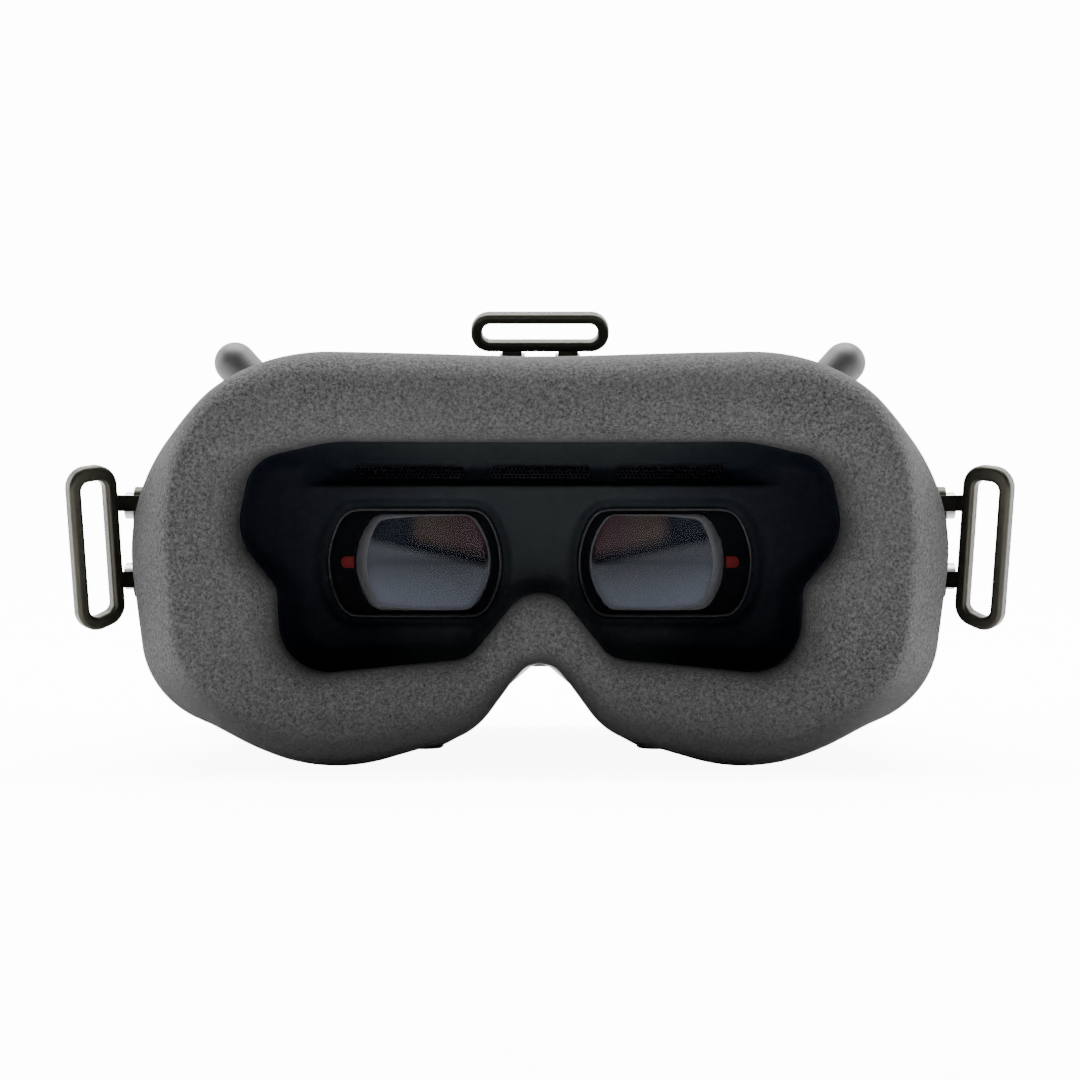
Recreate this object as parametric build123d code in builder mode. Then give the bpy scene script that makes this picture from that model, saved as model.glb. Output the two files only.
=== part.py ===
"""FPV goggles: a head-worn video viewer, modelled as the separate pieces it is assembled from.

Frame: +X is the wearer's right, +Y points forward, away from the face, and +Z is up.
The origin is the middle of the underside. Sizes are millimetres.
"""
from build123d import *
from math import cos, hypot, radians, sin, sqrt, tan
import os

os.makedirs("parts", exist_ok=True)

# ------------------------------------------------------------------ driving dimensions
wall = 2.0  # shell wall thickness
shell_half_width = 94.0  # rear shell, at the rim
body_half_width = shell_half_width - 1.0  # where the rear shell meets the front shell
front_half_width = shell_half_width - 14.0  # front shell, at its front wall
shell_top = 96.0  # flat top of both shells
seam_y = 2.0  # rear shell meets front shell
front_wall_y = 44.0  # front face of the front shell
underside_cut = 0.4  # how far the bottom outlines run below the flat underside
block_front_y = front_wall_y + 17.0  # front face of the six-sided block

# Face side: the rim follows a cylinder about an upright axis on the wearer's side.
rim_mid_y = -25.0
rim_radius = 354.0
flange_thickness = 2.0
hook_strip_thickness = 0.8
pad_gap = 0.3
pad_mid_y = -49.0  # skin side of the foam, in the middle
pad_radius = 314.0
open_y = -70.0  # a plane clear of the face side, where face-side cuts start
clear_span = 400.0  # larger than the goggles, for cutting tools
rim_lead = 4.4  # how far behind the rim's edge the lofts start
flange_reach = 10.0  # how far the flange blank runs past the middle of the rim

rim_axis_y = rim_mid_y - rim_radius
flange_radius = rim_radius - flange_thickness
strip_radius = flange_radius - hook_strip_thickness
pad_base_radius = strip_radius - pad_gap
pad_axis_y = pad_mid_y - pad_radius
rim_start_y = rim_axis_y + sqrt(strip_radius ** 2 - shell_half_width ** 2) - rim_lead

# Outlines across the goggles. Each corner of the right half is (x, z, radius), from the top down.
rim_outline = [
    (shell_half_width, shell_top, 43.0),
    (shell_half_width, 20.0, 27.0),
    (50.0, -1.0, 39.0),
    (15.8, 8.0, 17.0),
    (0.0, 27.0, 6.0),
]
body_outline = [
    (body_half_width, shell_top, 42.0),
    (body_half_width, 20.0, 26.0),
    (58.0, -underside_cut, 14.0),
    (24.0, -underside_cut, 12.0),
    (0.0, 26.0, 7.0),
]
front_outline = [
    (front_half_width, shell_top, 32.0),
    (front_half_width, 22.0, 22.0),
    (60.0, -underside_cut, 14.0),
    (24.0, -underside_cut, 10.0),
    (0.0, 20.0, 5.0),
]
block_outline = [(19.0, shell_top - 10.0, 4.0), (57.0, 52.0, 6.0), (43.0, 18.0, 6.0)]
face_opening = [
    (shell_half_width - 26.5, shell_top - 19.5, 9.0),
    (shell_half_width - 22.0, 54.0, 14.0),
    (shell_half_width - 31.5, 42.0, 6.0),
    (shell_half_width - 32.5, 22.0, 12.0),
    (17.0, 26.0, 8.0),
    (0.0, 46.0, 9.0),
]
pad_base_outline = [
    (shell_half_width + 4.0, shell_top + 2.6, 46.0),
    (shell_half_width + 4.4, 19.0, 29.0),
    (50.0, -1.9, 40.0),
    (15.6, 7.1, 18.0),
    (0.0, 28.3, 6.9),
]
pad_skin_outline = [
    (shell_half_width - 7.0, shell_top - 2.0, 38.0),
    (shell_half_width - 6.5, 22.0, 25.0),
    (49.6, 2.0, 38.0),
    (17.0, 11.0, 16.0),
    (0.0, 32.0, 8.0),
]
pad_skin_opening = [
    (shell_half_width - 20.0, shell_top - 13.0, 12.0),
    (shell_half_width - 16.0, 56.0, 15.0),
    (shell_half_width - 24.0, 43.0, 8.0),
    (shell_half_width - 25.0, 19.0, 13.0),
    (19.0, 20.0, 9.0),
    (0.0, 42.0, 9.0),
]
pad_base_y = -36.0
pad_skin_y = -59.0

# Face plate
opening_y = -36.0  # depth at which the face opening has its drawn size
tub_mouth_y = -46.7  # depth whose opening size the tub keeps out to its mouth
tub_floor_y = -12.0
tub_taper = tan(radians(9.06))
opening_growth = 0.5  # how much wider the foam's own opening is, at its base
pad_plate_y = -20.0  # front of the raised plate that carries the eye windows
pad_plate_top = 67.0
window_z = 47.6
window_radius = 21.5
window_half_height = 13.35
window_corner = 4.5
window_bevel = 1.8
window_bevel_depth = 1.1
vent_bottom = 68.6
vent_height = 2.7
vent_spans = [(-46.0, -19.0), (-12.6, 12.6), (19.0, 46.0)]
mesh_thickness = 0.6
mesh_hole = 1.3
mesh_pitch = 2.1
mesh_lap = 0.8  # how far each strip of mesh runs past the ends of its vent
mesh_border = 0.3  # frame left above and below the holes
strip_margins = (4.0, 3.0)  # hook strip back from the rim and from the face opening

# Optics: each eye's lens, carrier and display slide outwards together.
eye_spacing = 58.0  # between the lenses, at the narrowest setting
eye_travel = 6.0
lens_x = eye_spacing / 2
window_x = lens_x + 1.9  # the window leaves room for the lens to slide outwards
focus_travel = 2.0
lens_z = 47.7
lens_radius = 16.8
lens_half_height = lens_radius - 4.9
lens_front_apex = -18.0
lens_front_sphere = 94.8
lens_back_apex = -9.0
lens_back_sphere = 71.6
lens_play = 0.06
lens_blank = 20.0  # depth of the block each lens is cut from
lens_seat_step = 0.4
lens_seat_y = lens_back_apex - lens_seat_step + focus_travel  # the lens has room to move back
carrier_face_y = -15.6
apron_thickness = 1.5
apron_inner = 26.0
apron_outer = 24.0
apron_half_height = 16.0
plate_corner = 3.0  # corner radius of the larger flat parts
barrel_wall = 1.7
barrel_bore = lens_radius - 1.2
barrel_end_y = 19.0
display_width = 36.0
display_height = 28.0
display_thickness = 1.2
display_board_width = 40.0
display_board_height = 32.0
display_board_thickness = 1.0
display_plug = (14.0, 4.0)
display_plug_depth = 1.5
mark_start = lens_radius + 0.3
mark_width = 3.2
mark_height = 2.9
mark_thickness = 0.5
mark_corner = 1.3
rod_radius = 1.5
rod_play = 0.05
rod_y = 2.0
rod_spread = 17.0  # from the lens height up and down to the two rods
lug_half_width = 12.0
lug_radius = 3.5
frame_half_width = lens_x + 34.0
frame_bar = 3.0
rod_half_length = frame_half_width - frame_bar / 3
frame_nose_gap = 9.0  # the frame's lower bar is open over the nose
frame_back_y = -3.0
frame_front_y = 7.0
frame_half_height = 24.0
frame_post_radius = 2.4
frame_post_lap = 1.0  # how far the posts run into the frame
frame_screw_head = 1.4
frame_posts_top = (frame_half_width - 11.0, 70.0)
frame_posts_low = (frame_half_width - 13.0, 27.0)
knob_y = -8.0
knob_radius = 4.8
knob_bottom = 0.9
knob_height = 6.0
knob_gap = 0.6
knob_stem_radius = 1.6
knob_boss = 4.0
knob_boss_drop = 6.0
knob_slot_depth = 10.0
knob_chamfer = 0.5
knob_flutes = 16
knob_flute_radius = 0.45
knob_coin_slot = (6.6, 1.0)
knob_coin_depth = 0.8
knob_seat_floor = 0.5  # left over the end of the knob's seat in its boss
knob_end_gap = 1.0

# Boards, cooling
board_back_y = front_wall_y - 10.0
board_thickness = 1.6
board_half_width = 60.0
board_low = 27.0
board_high = shell_top - 16.0
board_posts = [(55.0, board_low + 6.0), (55.0, board_high - 5.0)]
board_post_radius = 3.0
cooler_z = 47.0
shield_width = 52.0
shield_height = 38.0
shield_depth = 2.4
small_corner = 1.5
sink_base_depth = 2.0
sink_fin_depth = 6.0
sink_fin_thickness = 1.2
sink_fins = 11
fan_size = 36.0
fan_depth = 9.0
fan_plate = 1.2
fan_bore = 16.6
fan_tip_gap = 0.8
fan_hub_radius = 6.0
fan_shaft_radius = 1.0
fan_shaft_play = 0.05
fan_blades = 7
fan_strut = 2.4
fan_blade_thickness = 1.4
rotor_gap = 0.4  # behind the rotor
rotor_recess = 0.6  # in front of the rotor
rotor_cap = 0.6  # closed end over the shaft
cover_thickness = 2.4
cover_ledge = 1.3
cover_gap = 0.2
intake_slots = 7
intake_pitch = 4.2
intake_width = 2.2
intake_margin = 3.0  # slot ends in from the fan's bore
cover_chamfer = 0.6
grille_slots = 6
grille_pitch = 5.0
grille_slot = (8.0, 2.0)
cut_lead = 1.0  # how far outside a surface each cut starts

# Antennas: two on the upper facets and two on the lower facets of the block.
antenna_y = front_wall_y + 9.0
upper_facet_share = 0.758
lower_facet_share = 0.43
upper_antenna_length = 58.0
lower_antenna_length = 50.0
jack_radius = 3.175
jack_length = 8.5
jack_flange_radius = 4.7
jack_flange_thickness = 1.6
jack_socket_radius = 2.3
jack_socket_floor = 3.0
jack_pin_radius = 0.65
jack_pin_floor = 1.0
antenna_pin_start = 2.0
jack_tail = 5.0
nut_start = 2.2
nut_end = 11.2
nut_lip = 9.0
nut_radius = 4.6
nut_hex_end = 6.0
nut_play = 0.125
antenna_pin_radius = 0.45
antenna_collar_radius = 3.0
antenna_neck_radius = 1.8
antenna_root = 11.6
antenna_root_radius = 6.4
antenna_tip_radius = 5.9
antenna_clearance = 0.1  # between the collar and what it turns in

# Controls on the flat top
control_y = 24.0
control_spread = 6.0
button_radius = 3.0
button_play = 0.15
button_proud = 1.0
button_flange = 1.0
button_flange_thickness = 1.5
button_rest_gap = 0.05
button_travel = 0.8
button_rounding = 0.4
nav_cap_rounding = 0.6
switch_size = 4.0
switch_gap = 0.05
record_button_at = (24.0, control_y + control_spread)
back_button_at = (24.0, control_y - control_spread)
link_button_at = (-16.0, control_y)
channel_up_at = (-44.0, control_y + control_spread)
channel_down_at = (-44.0, control_y - control_spread)
nav_at = (38.0, control_y)
nav_pivot_z = shell_top - 6.0
nav_hole_radius = 3.4
nav_stem_radius = 1.5
nav_stem_top = shell_top + 2.6
nav_stem_low = shell_top - 8.0
nav_cap_radius = 4.5
nav_cap_low = shell_top + 1.8
nav_cap_high = shell_top + 4.0
nav_press = 0.5
nav_end_gap = 0.1
nav_play = 0.03
gimbal_outer = 4.4
gimbal_inner = 2.7
gimbal_height = 2.0
pivot_radius = 0.6
pivot_play = 0.05
gimbal_post = 1.2  # thickness of the two posts that carry the gimbal ring
gimbal_post_gap = 0.5
gimbal_post_depth = 3.0
nav_stem_gap = 0.6
stem_pivot_reach = 3.9
control_board_z = shell_top - 12.0
control_board_thickness = 1.6
control_board_half_depth = 12.0
control_post_radius = 1.8
control_board_margins = {"left": 7.0, "right": 9.0}  # past the outer controls
display_window = (-30.0, control_y)
display_window_size = (16.0, 8.0)
display_window_glass = 1.0
display_window_ledge = 0.8

# Ports
audio_y = 12.0
av_y = 22.0
power_y = 32.0
port_z = 45.0
jack_bore = 1.8
jack_bore_length = 14.0
jack_barrel = 3.4
port_play = 0.1
port_proud = 1.2
socket_body_start = 6.5
socket_end = 1.0  # closed end of each round socket
socket_body_margin = 1.0
power_bore = 2.8
power_barrel = 4.3
data_y = 16.0
card_y = 30.0
usb_size = (9.0, 3.2)
card_size = (11.5, 1.4)
port_rim = 0.8
port_body_depth = 9.0
port_hole_depth = 7.5

# Strap brackets
loop_bar = 2.9
loop_thickness = 3.6
side_slot = 6.2
side_loop_high = 19.3
side_loop_low_outer = -21.0
side_loop_low_inner = -18.3
side_loop_corner = 5.0
side_slot_margins = (3.6, 3.8, 2.8)  # bar left above the slot, and below it at its outer and inner side
loop_rounding = 0.9
side_loop_centre = (shell_half_width + 10.2, -42.0, 51.6)
side_loop_out = (0.775, -0.605, -0.150)
side_loop_up = (0.063, -0.250, 0.966)
bracket_seat_x = shell_half_width + 0.8  # flat seat of the bosses on the shell's sides
bracket_plate = 2.2
bracket_plate_y = (-34.0, -15.0)
bracket_plate_z = (39.5, 66.0)
bracket_screw_y = -29.4
bracket_screw_z = (61.5, 44.5)
bracket_arm_z = (61.9, 43.8)
bracket_arm_height = 3.8
bracket_arm_lap = 4.0  # how far each arm runs along the plate
bracket_arm_step = 1.0
arm_end_inner = (0.8, 0.0)  # where each arm ends in the loop's inner bar
arm_end_outer = (0.4, 1.2)
top_loop_width = 34.2
top_slot = (28.6, 4.8)
top_loop_lean = 27.0
top_loop_bar = 2.5
top_loop_corner = 4.6
top_loop_foot = (-11.5, shell_top + 5.4)
top_plate_width = 22.0
top_plate_depth = 12.0
top_plate_thickness = 1.8
top_screw_x = 7.0
top_plate_lap = 1.0  # how far the plate runs past its screws' strip at each end
top_foot = (5.0, 2.6)
top_foot_y = -12.7
boss_radius = 4.0
boss_depth = 6.0
boss_step = 0.5  # the bosses are drawn again this far in, after the shell is hollowed
screw_head_radius = 3.2
screw_head_height = 2.6
screw_shank_radius = 1.3
screw_shank_length = 6.0
small_screw_head = 2.0
small_screw_shank = 1.0

SIDES = {"left": -1, "right": 1}


# ------------------------------------------------------------------ shared helpers
def facing(y):
    """Plane across the goggles at depth y, with its own x to the right and its own y up."""
    return Plane.XZ.offset(-y)


def mirrored(half):
    """Closed list of corners from those of the right half, mirrored in the middle plane."""
    left = [(-x, z, r) for x, z, r in reversed(half) if x > 0]
    return half + left


def inset(half, depth):
    """The same outline moved inwards by depth, or outwards where depth is negative."""
    corners = mirrored(half)
    moved = []
    for i in range(len(half)):
        x, z, r = corners[i]
        before = corners[i - 1]
        after = corners[(i + 1) % len(corners)]
        run_in = (x - before[0], z - before[1])
        run_out = (after[0] - x, after[1] - z)
        size_in = hypot(*run_in)
        size_out = hypot(*run_out)
        ax, az = run_in[1] / size_in, -run_in[0] / size_in
        bx, bz = run_out[1] / size_out, -run_out[0] / size_out
        reach = depth / (1 + ax * bx + az * bz)
        bulges = run_in[0] * run_out[1] - run_in[1] * run_out[0] < 0
        radius = r - depth if bulges else r + depth
        moved.append((x + (ax + bx) * reach, z + (az + bz) * reach, max(radius, 0.6)))
    return moved


def outline(half):
    """Flat face bounded by the mirrored outline."""
    corners = mirrored(half)
    points = [(x, z) for x, z, r in corners]
    radii = [r for x, z, r in corners]
    with BuildSketch() as face:
        with BuildLine():
            FilletPolyline(*points, radius=radii, close=True)
        make_face()
    return face.sketch


def lens_shape(radius, half_height, corner=0.0):
    """Circle cut flat at the top and bottom, drawn about its own centre."""
    with BuildSketch() as face:
        Circle(radius)
        Rectangle(2 * radius, 2 * half_height, mode=Mode.INTERSECT)
        if corner > 0:
            fillet(face.vertices(), corner)
    return face.sketch


def slot_loop(outer, slot):
    """Flat strap loop: a filleted outline with a filleted slot in it."""
    with BuildSketch() as face:
        with BuildLine():
            FilletPolyline(*[(u, v) for u, v, r in outer], radius=[r for u, v, r in outer], close=True)
        make_face()
        with BuildLine():
            FilletPolyline(*[(u, v) for u, v, r in slot], radius=[r for u, v, r in slot], close=True)
        make_face(mode=Mode.SUBTRACT)
    return face.sketch


rim_cut_height = 260.0
flange_depth = rim_mid_y - rim_start_y + flange_reach


def side_x(y):
    """Half width of the front shell's flat side at depth y."""
    share = (y - seam_y) / (front_wall_y - seam_y)
    return body_half_width + (front_half_width - body_half_width) * share


# ------------------------------------------------------------------ antenna seats
def facet_seat(first, second, share):
    """Point on a facet of the block and the facet's outward direction, both in x and z."""
    run = (second[0] - first[0], second[1] - first[1])
    size = hypot(*run)
    point = (first[0] + run[0] * share, first[1] + run[1] * share)
    return point, (-run[1] / size, run[0] / size)


upper_seat = facet_seat(block_outline[0], block_outline[1], upper_facet_share)
lower_seat = facet_seat(block_outline[1], block_outline[2], lower_facet_share)
ANTENNAS = {
    "upper": (*upper_seat, upper_antenna_length),
    "lower": (*lower_seat, lower_antenna_length),
}


def seat_plane(level, sx):
    """Plane on a facet, its own z along the antenna."""
    (px, pz), (nx, nz), length = ANTENNAS[level]
    return Plane(origin=(sx * px, antenna_y, pz), x_dir=(0, 1, 0), z_dir=(sx * nx, 0, nz))


seat_planes = {(level, side): seat_plane(level, sx) for level in ANTENNAS for side, sx in SIDES.items()}

# ------------------------------------------------------------------ rear shell
top_screws = [(sx * top_screw_x, top_loop_foot[0] + top_plate_depth / 2) for sx in SIDES.values()]
side_bosses = [(bracket_screw_y, z) for z in bracket_screw_z]

with BuildPart() as rear_shell:
    with BuildSketch(facing(rim_start_y)):
        add(outline(rim_outline))
    with BuildSketch(facing(seam_y)):
        add(outline(body_outline))
    loft(ruled=True)
    for sx in SIDES.values():
        with BuildSketch(Plane.YZ.offset(sx * bracket_seat_x)):
            with Locations(*side_bosses):
                Circle(boss_radius)
        extrude(amount=-sx * boss_depth)
    with BuildSketch(facing(rim_start_y)):
        add(outline(inset(rim_outline, wall)))
    with BuildSketch(facing(seam_y)):
        add(outline(inset(body_outline, wall)))
    loft(ruled=True, mode=Mode.SUBTRACT)
    for sx in SIDES.values():
        with BuildSketch(Plane.YZ.offset(sx * (bracket_seat_x - boss_step))):
            with Locations(*side_bosses):
                Circle(boss_radius)
        extrude(amount=-sx * boss_depth)
        with BuildSketch(Plane.YZ.offset(sx * bracket_seat_x)):
            with Locations(*side_bosses):
                Circle(screw_shank_radius)
        extrude(amount=-sx * screw_shank_length, mode=Mode.SUBTRACT)
    with BuildSketch(Plane.XY.offset(shell_top)):
        with Locations(*top_screws):
            Circle(boss_radius)
    extrude(amount=-boss_depth)
    with BuildSketch(Plane.XY.offset(shell_top)):
        with Locations(*top_screws):
            Circle(screw_shank_radius)
    extrude(amount=-screw_shank_length + top_plate_thickness, mode=Mode.SUBTRACT)
    for sx in SIDES.values():
        with BuildSketch(Plane.XY):
            with Locations((sx * (lens_x + eye_travel / 2), knob_y)):
                SlotCenterToCenter(eye_travel, 2 * (knob_radius + knob_gap))
        extrude(amount=knob_slot_depth, mode=Mode.SUBTRACT)
    with Locations((0, rim_axis_y, shell_top / 2)):
        Cylinder(rim_radius, rim_cut_height, mode=Mode.SUBTRACT)
    Box(clear_span, clear_span, clear_span, align=(Align.CENTER, Align.CENTER, Align.MIN), mode=Mode.INTERSECT)
rear_shell.part.label = "rear_shell"
export_step(rear_shell.part, "parts/rear_shell.step")

# ------------------------------------------------------------------ front shell
cover_back_y = block_front_y - cover_thickness
facet_cut = wall + cover_ledge + 2 * cut_lead  # through a facet of the block
board_front_y = board_back_y + board_thickness
ROUND_CONTROLS = {
    "record_button": record_button_at,
    "back_button": back_button_at,
    "link_button": link_button_at,
    "channel_up_button": channel_up_at,
    "channel_down_button": channel_down_at,
}
board_centres = {
    "left": (channel_up_at[0] + link_button_at[0]) / 2,
    "right": (nav_at[0] + record_button_at[0]) / 2,
}
board_half_spans = {
    "left": (link_button_at[0] - channel_up_at[0]) / 2 + control_board_margins["left"],
    "right": (nav_at[0] - record_button_at[0]) / 2 + control_board_margins["right"],
}
control_posts = [
    (board_centres[side] + px * (board_half_spans[side] - control_post_radius),
     control_y + py * (control_board_half_depth - control_post_radius))
    for side in SIDES for px in (-1, 1) for py in (-1, 1)
]
sockets = {"audio": (audio_y, jack_barrel), "av": (av_y, jack_barrel), "power": (power_y, power_barrel)}

with BuildPart() as front_shell:
    with BuildSketch(facing(seam_y)):
        add(outline(body_outline))
    with BuildSketch(facing(front_wall_y)):
        add(outline(front_outline))
    loft(ruled=True)
    with BuildSketch(facing(front_wall_y - wall)):
        add(outline(block_outline))
    extrude(amount=-(block_front_y - front_wall_y + wall))
    with BuildSketch(facing(seam_y)):
        add(outline(inset(body_outline, wall)))
    with BuildSketch(facing(front_wall_y - wall)):
        add(outline(inset(front_outline, wall)))
    loft(ruled=True, mode=Mode.SUBTRACT)
    with BuildSketch(facing(front_wall_y - 2 * wall)):
        add(outline(inset(block_outline, wall + cover_ledge)))
    extrude(amount=-(cover_back_y - front_wall_y + 2 * wall), mode=Mode.SUBTRACT)
    with BuildSketch(facing(cover_back_y)):
        add(outline(inset(block_outline, wall - cover_gap)))
    extrude(amount=-cover_thickness, mode=Mode.SUBTRACT)
    with BuildSketch(facing(board_front_y)):
        with Locations(*[(sx * x, z) for sx in SIDES.values() for x, z in board_posts]):
            Circle(board_post_radius)
    extrude(amount=-(front_wall_y - wall / 2 - board_front_y))
    with BuildSketch(Plane.XY.offset(control_board_z + control_board_thickness)):
        with Locations(*control_posts):
            Circle(control_post_radius)
    extrude(amount=shell_top - wall / 2 - control_board_z - control_board_thickness)
    with BuildSketch(Plane.XY.offset(shell_top - 2 * wall)):
        with Locations(*ROUND_CONTROLS.values()):
            Circle(button_radius + button_play)
        with Locations(nav_at):
            Circle(nav_hole_radius)
        with Locations(display_window):
            Rectangle(*[side - 2 * display_window_ledge for side in display_window_size])
    extrude(amount=3 * wall, mode=Mode.SUBTRACT)
    with BuildSketch(Plane.XY.offset(shell_top - display_window_glass)):
        with Locations(display_window):
            Rectangle(*display_window_size)
    extrude(amount=2 * display_window_glass, mode=Mode.SUBTRACT)
    for y, radius in sockets.values():
        with BuildSketch(Plane.YZ.offset(-body_half_width)):
            with Locations((y, port_z)):
                Circle(radius + port_play)
        extrude(amount=body_half_width - front_half_width + 4 * wall, mode=Mode.SUBTRACT)
    for y, size in ((data_y, usb_size), (card_y, card_size)):
        with BuildSketch(Plane.YZ.offset(body_half_width)):
            with Locations((y, port_z)):
                Rectangle(*[span + 2 * (port_rim + port_play) for span in size])
        extrude(amount=-(body_half_width - front_half_width + 4 * wall), mode=Mode.SUBTRACT)
    for plane in seat_planes.values():
        with BuildSketch(plane.offset(cut_lead)):
            Circle(jack_radius)
        extrude(amount=-facet_cut, mode=Mode.SUBTRACT)
    with BuildSketch(Plane.XY.offset(block_outline[0][1] + cut_lead)):
        with GridLocations(grille_pitch, 1.0, grille_slots, 1):
            with Locations((0, (front_wall_y + cover_back_y) / 2)):
                SlotOverall(*grille_slot, rotation=90)
    extrude(amount=-facet_cut, mode=Mode.SUBTRACT)
    Box(clear_span, clear_span, clear_span, align=(Align.CENTER, Align.CENTER, Align.MIN), mode=Mode.INTERSECT)
front_shell.part.label = "front_shell"
export_step(front_shell.part, "parts/front_shell.step")

# ------------------------------------------------------------------ front cover
with BuildPart() as front_cover:
    with BuildSketch(facing(cover_back_y)):
        add(outline(inset(block_outline, wall)))
    extrude(amount=-cover_thickness)
    chamfer(front_cover.faces().sort_by(Axis.Y)[-1].edges(), cover_chamfer)
    with BuildSketch(facing(cover_back_y)):
        with Locations((0, cooler_z)):
            with GridLocations(1.0, intake_pitch, 1, intake_slots):
                SlotOverall(2 * (fan_bore - intake_margin), intake_width)
    extrude(amount=-cover_thickness, mode=Mode.SUBTRACT)
front_cover.part.label = "front_cover"
export_step(front_cover.part, "parts/front_cover.step")


# ------------------------------------------------------------------ face plate
def tub_at(y, extra=0.0):
    """Face opening at depth y, drawn in by the tub's taper, with extra added outside it."""
    return inset(face_opening, (y - opening_y) * tub_taper - extra)


def below_ledge(y, z):
    """Add a block in front of depth y and under height z, to be cut away."""
    with Locations((0, y, z)):
        Box(clear_span, clear_span, clear_span, align=(Align.CENTER, Align.MIN, Align.MAX), mode=Mode.SUBTRACT)


floor_back_y = tub_floor_y + wall
with BuildPart() as tub_cavity:
    with BuildSketch(facing(open_y)):
        add(outline(tub_at(tub_mouth_y)))
    with BuildSketch(facing(tub_floor_y)):
        add(outline(tub_at(tub_floor_y)))
    loft(ruled=True)
    below_ledge(pad_plate_y, pad_plate_top)

with BuildPart() as plate_region:
    with BuildSketch(facing(pad_plate_y - wall)):
        add(outline(tub_at(floor_back_y, wall / 2)))
    extrude(amount=-(floor_back_y - pad_plate_y + 2 * wall))

with BuildPart() as moulding:
    with BuildSketch(facing(rim_start_y)):
        add(outline(rim_outline))
    extrude(amount=-flange_depth)
    with Locations((0, rim_axis_y, shell_top / 2)):
        Cylinder(rim_radius, rim_cut_height, mode=Mode.INTERSECT)
    with BuildSketch(facing(open_y)):
        add(outline(tub_at(tub_mouth_y, wall)))
    with BuildSketch(facing(floor_back_y)):
        add(outline(tub_at(floor_back_y, wall)))
    loft(ruled=True)
    below_ledge(pad_plate_y + wall, pad_plate_top - wall)
    with Locations((0, rim_axis_y, shell_top / 2)):
        Cylinder(flange_radius, rim_cut_height, mode=Mode.SUBTRACT)
    add(tub_cavity.part, mode=Mode.SUBTRACT)
    Box(clear_span, clear_span, clear_span, align=(Align.CENTER, Align.CENTER, Align.MIN), mode=Mode.INTERSECT)

with BuildPart() as face_plate:
    add(moulding.part)
    add(plate_region.part, mode=Mode.SUBTRACT)
face_plate.part.label = "face_plate"
export_step(face_plate.part, "parts/face_plate.step")

with BuildPart() as lens_plate:
    add(moulding.part)
    add(plate_region.part, mode=Mode.INTERSECT)
    for sx in SIDES.values():
        with BuildSketch(facing(pad_plate_y - wall)):
            with Locations((sx * window_x, window_z)):
                add(lens_shape(window_radius, window_half_height, window_corner))
        extrude(amount=-3 * wall, mode=Mode.SUBTRACT)
        with BuildSketch(facing(pad_plate_y)):
            with Locations((sx * window_x, window_z)):
                add(lens_shape(window_radius + window_bevel, window_half_height + window_bevel,
                               window_corner + window_bevel))
        with BuildSketch(facing(pad_plate_y + window_bevel_depth)):
            with Locations((sx * window_x, window_z)):
                add(lens_shape(window_radius, window_half_height, window_corner))
        loft(ruled=True, mode=Mode.SUBTRACT)
    with BuildSketch(facing(tub_floor_y - wall)):
        for low, high in vent_spans:
            with Locations(((low + high) / 2, vent_bottom + vent_height / 2)):
                Rectangle(high - low, vent_height)
    extrude(amount=-3 * wall, mode=Mode.SUBTRACT)
lens_plate.part.label = "lens_plate"
export_step(lens_plate.part, "parts/lens_plate.step")

# ------------------------------------------------------------------ vent mesh
with BuildPart() as vent_mesh:
    with BuildSketch(facing(floor_back_y)):
        for low, high in vent_spans:
            holes = int((high - low - mesh_lap) / mesh_pitch)
            with Locations(((low + high) / 2, vent_bottom + vent_height / 2)):
                Rectangle(high - low + 2 * mesh_lap, vent_height + mesh_lap)
                with GridLocations(mesh_pitch, 1, holes, 1):
                    Rectangle(mesh_hole, vent_height - 2 * mesh_border, mode=Mode.SUBTRACT)
    extrude(amount=-mesh_thickness)
vent_mesh.part.label = "vent_mesh"
export_step(vent_mesh.part, "parts/vent_mesh.step")

# ------------------------------------------------------------------ hook strip and foam pad
with BuildPart() as pad_hook_strip:
    with BuildSketch(facing(rim_start_y)):
        add(outline(inset(rim_outline, strip_margins[0])))
        add(outline(inset(face_opening, -strip_margins[1])), mode=Mode.SUBTRACT)
    extrude(amount=-flange_depth)
    with Locations((0, rim_axis_y, shell_top / 2)):
        Cylinder(flange_radius, rim_cut_height, mode=Mode.INTERSECT)
        Cylinder(strip_radius, rim_cut_height, mode=Mode.SUBTRACT)
pad_hook_strip.part.label = "pad_hook_strip"
export_step(pad_hook_strip.part, "parts/pad_hook_strip.step")


def between(first, second, y):
    """Outline at depth y on the straight line between the pad's base and skin outlines."""
    share = (y - pad_base_y) / (pad_skin_y - pad_base_y)
    return [
        tuple(a + (b - a) * share for a, b in zip(corner, other))
        for corner, other in zip(first, second)
    ]


with BuildPart() as foam_pad:
    with BuildSketch(facing(rim_mid_y)):
        add(outline(between(pad_base_outline, pad_skin_outline, pad_base_y)))
    with BuildSketch(facing(open_y)):
        add(outline(between(pad_base_outline, pad_skin_outline, open_y)))
    loft(ruled=True)
    with BuildSketch(facing(rim_mid_y)):
        add(outline(inset(face_opening, -opening_growth)))
    with BuildSketch(facing(open_y)):
        add(outline(between(face_opening, pad_skin_opening, open_y)))
    loft(ruled=True, mode=Mode.SUBTRACT)
    with Locations((0, rim_axis_y, shell_top / 2)):
        Cylinder(pad_base_radius, rim_cut_height, mode=Mode.INTERSECT)
    with Locations((0, pad_axis_y, shell_top / 2)):
        Cylinder(pad_radius, rim_cut_height, mode=Mode.SUBTRACT)
foam_pad.part.label = "foam_pad"
export_step(foam_pad.part, "parts/foam_pad.step")

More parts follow.
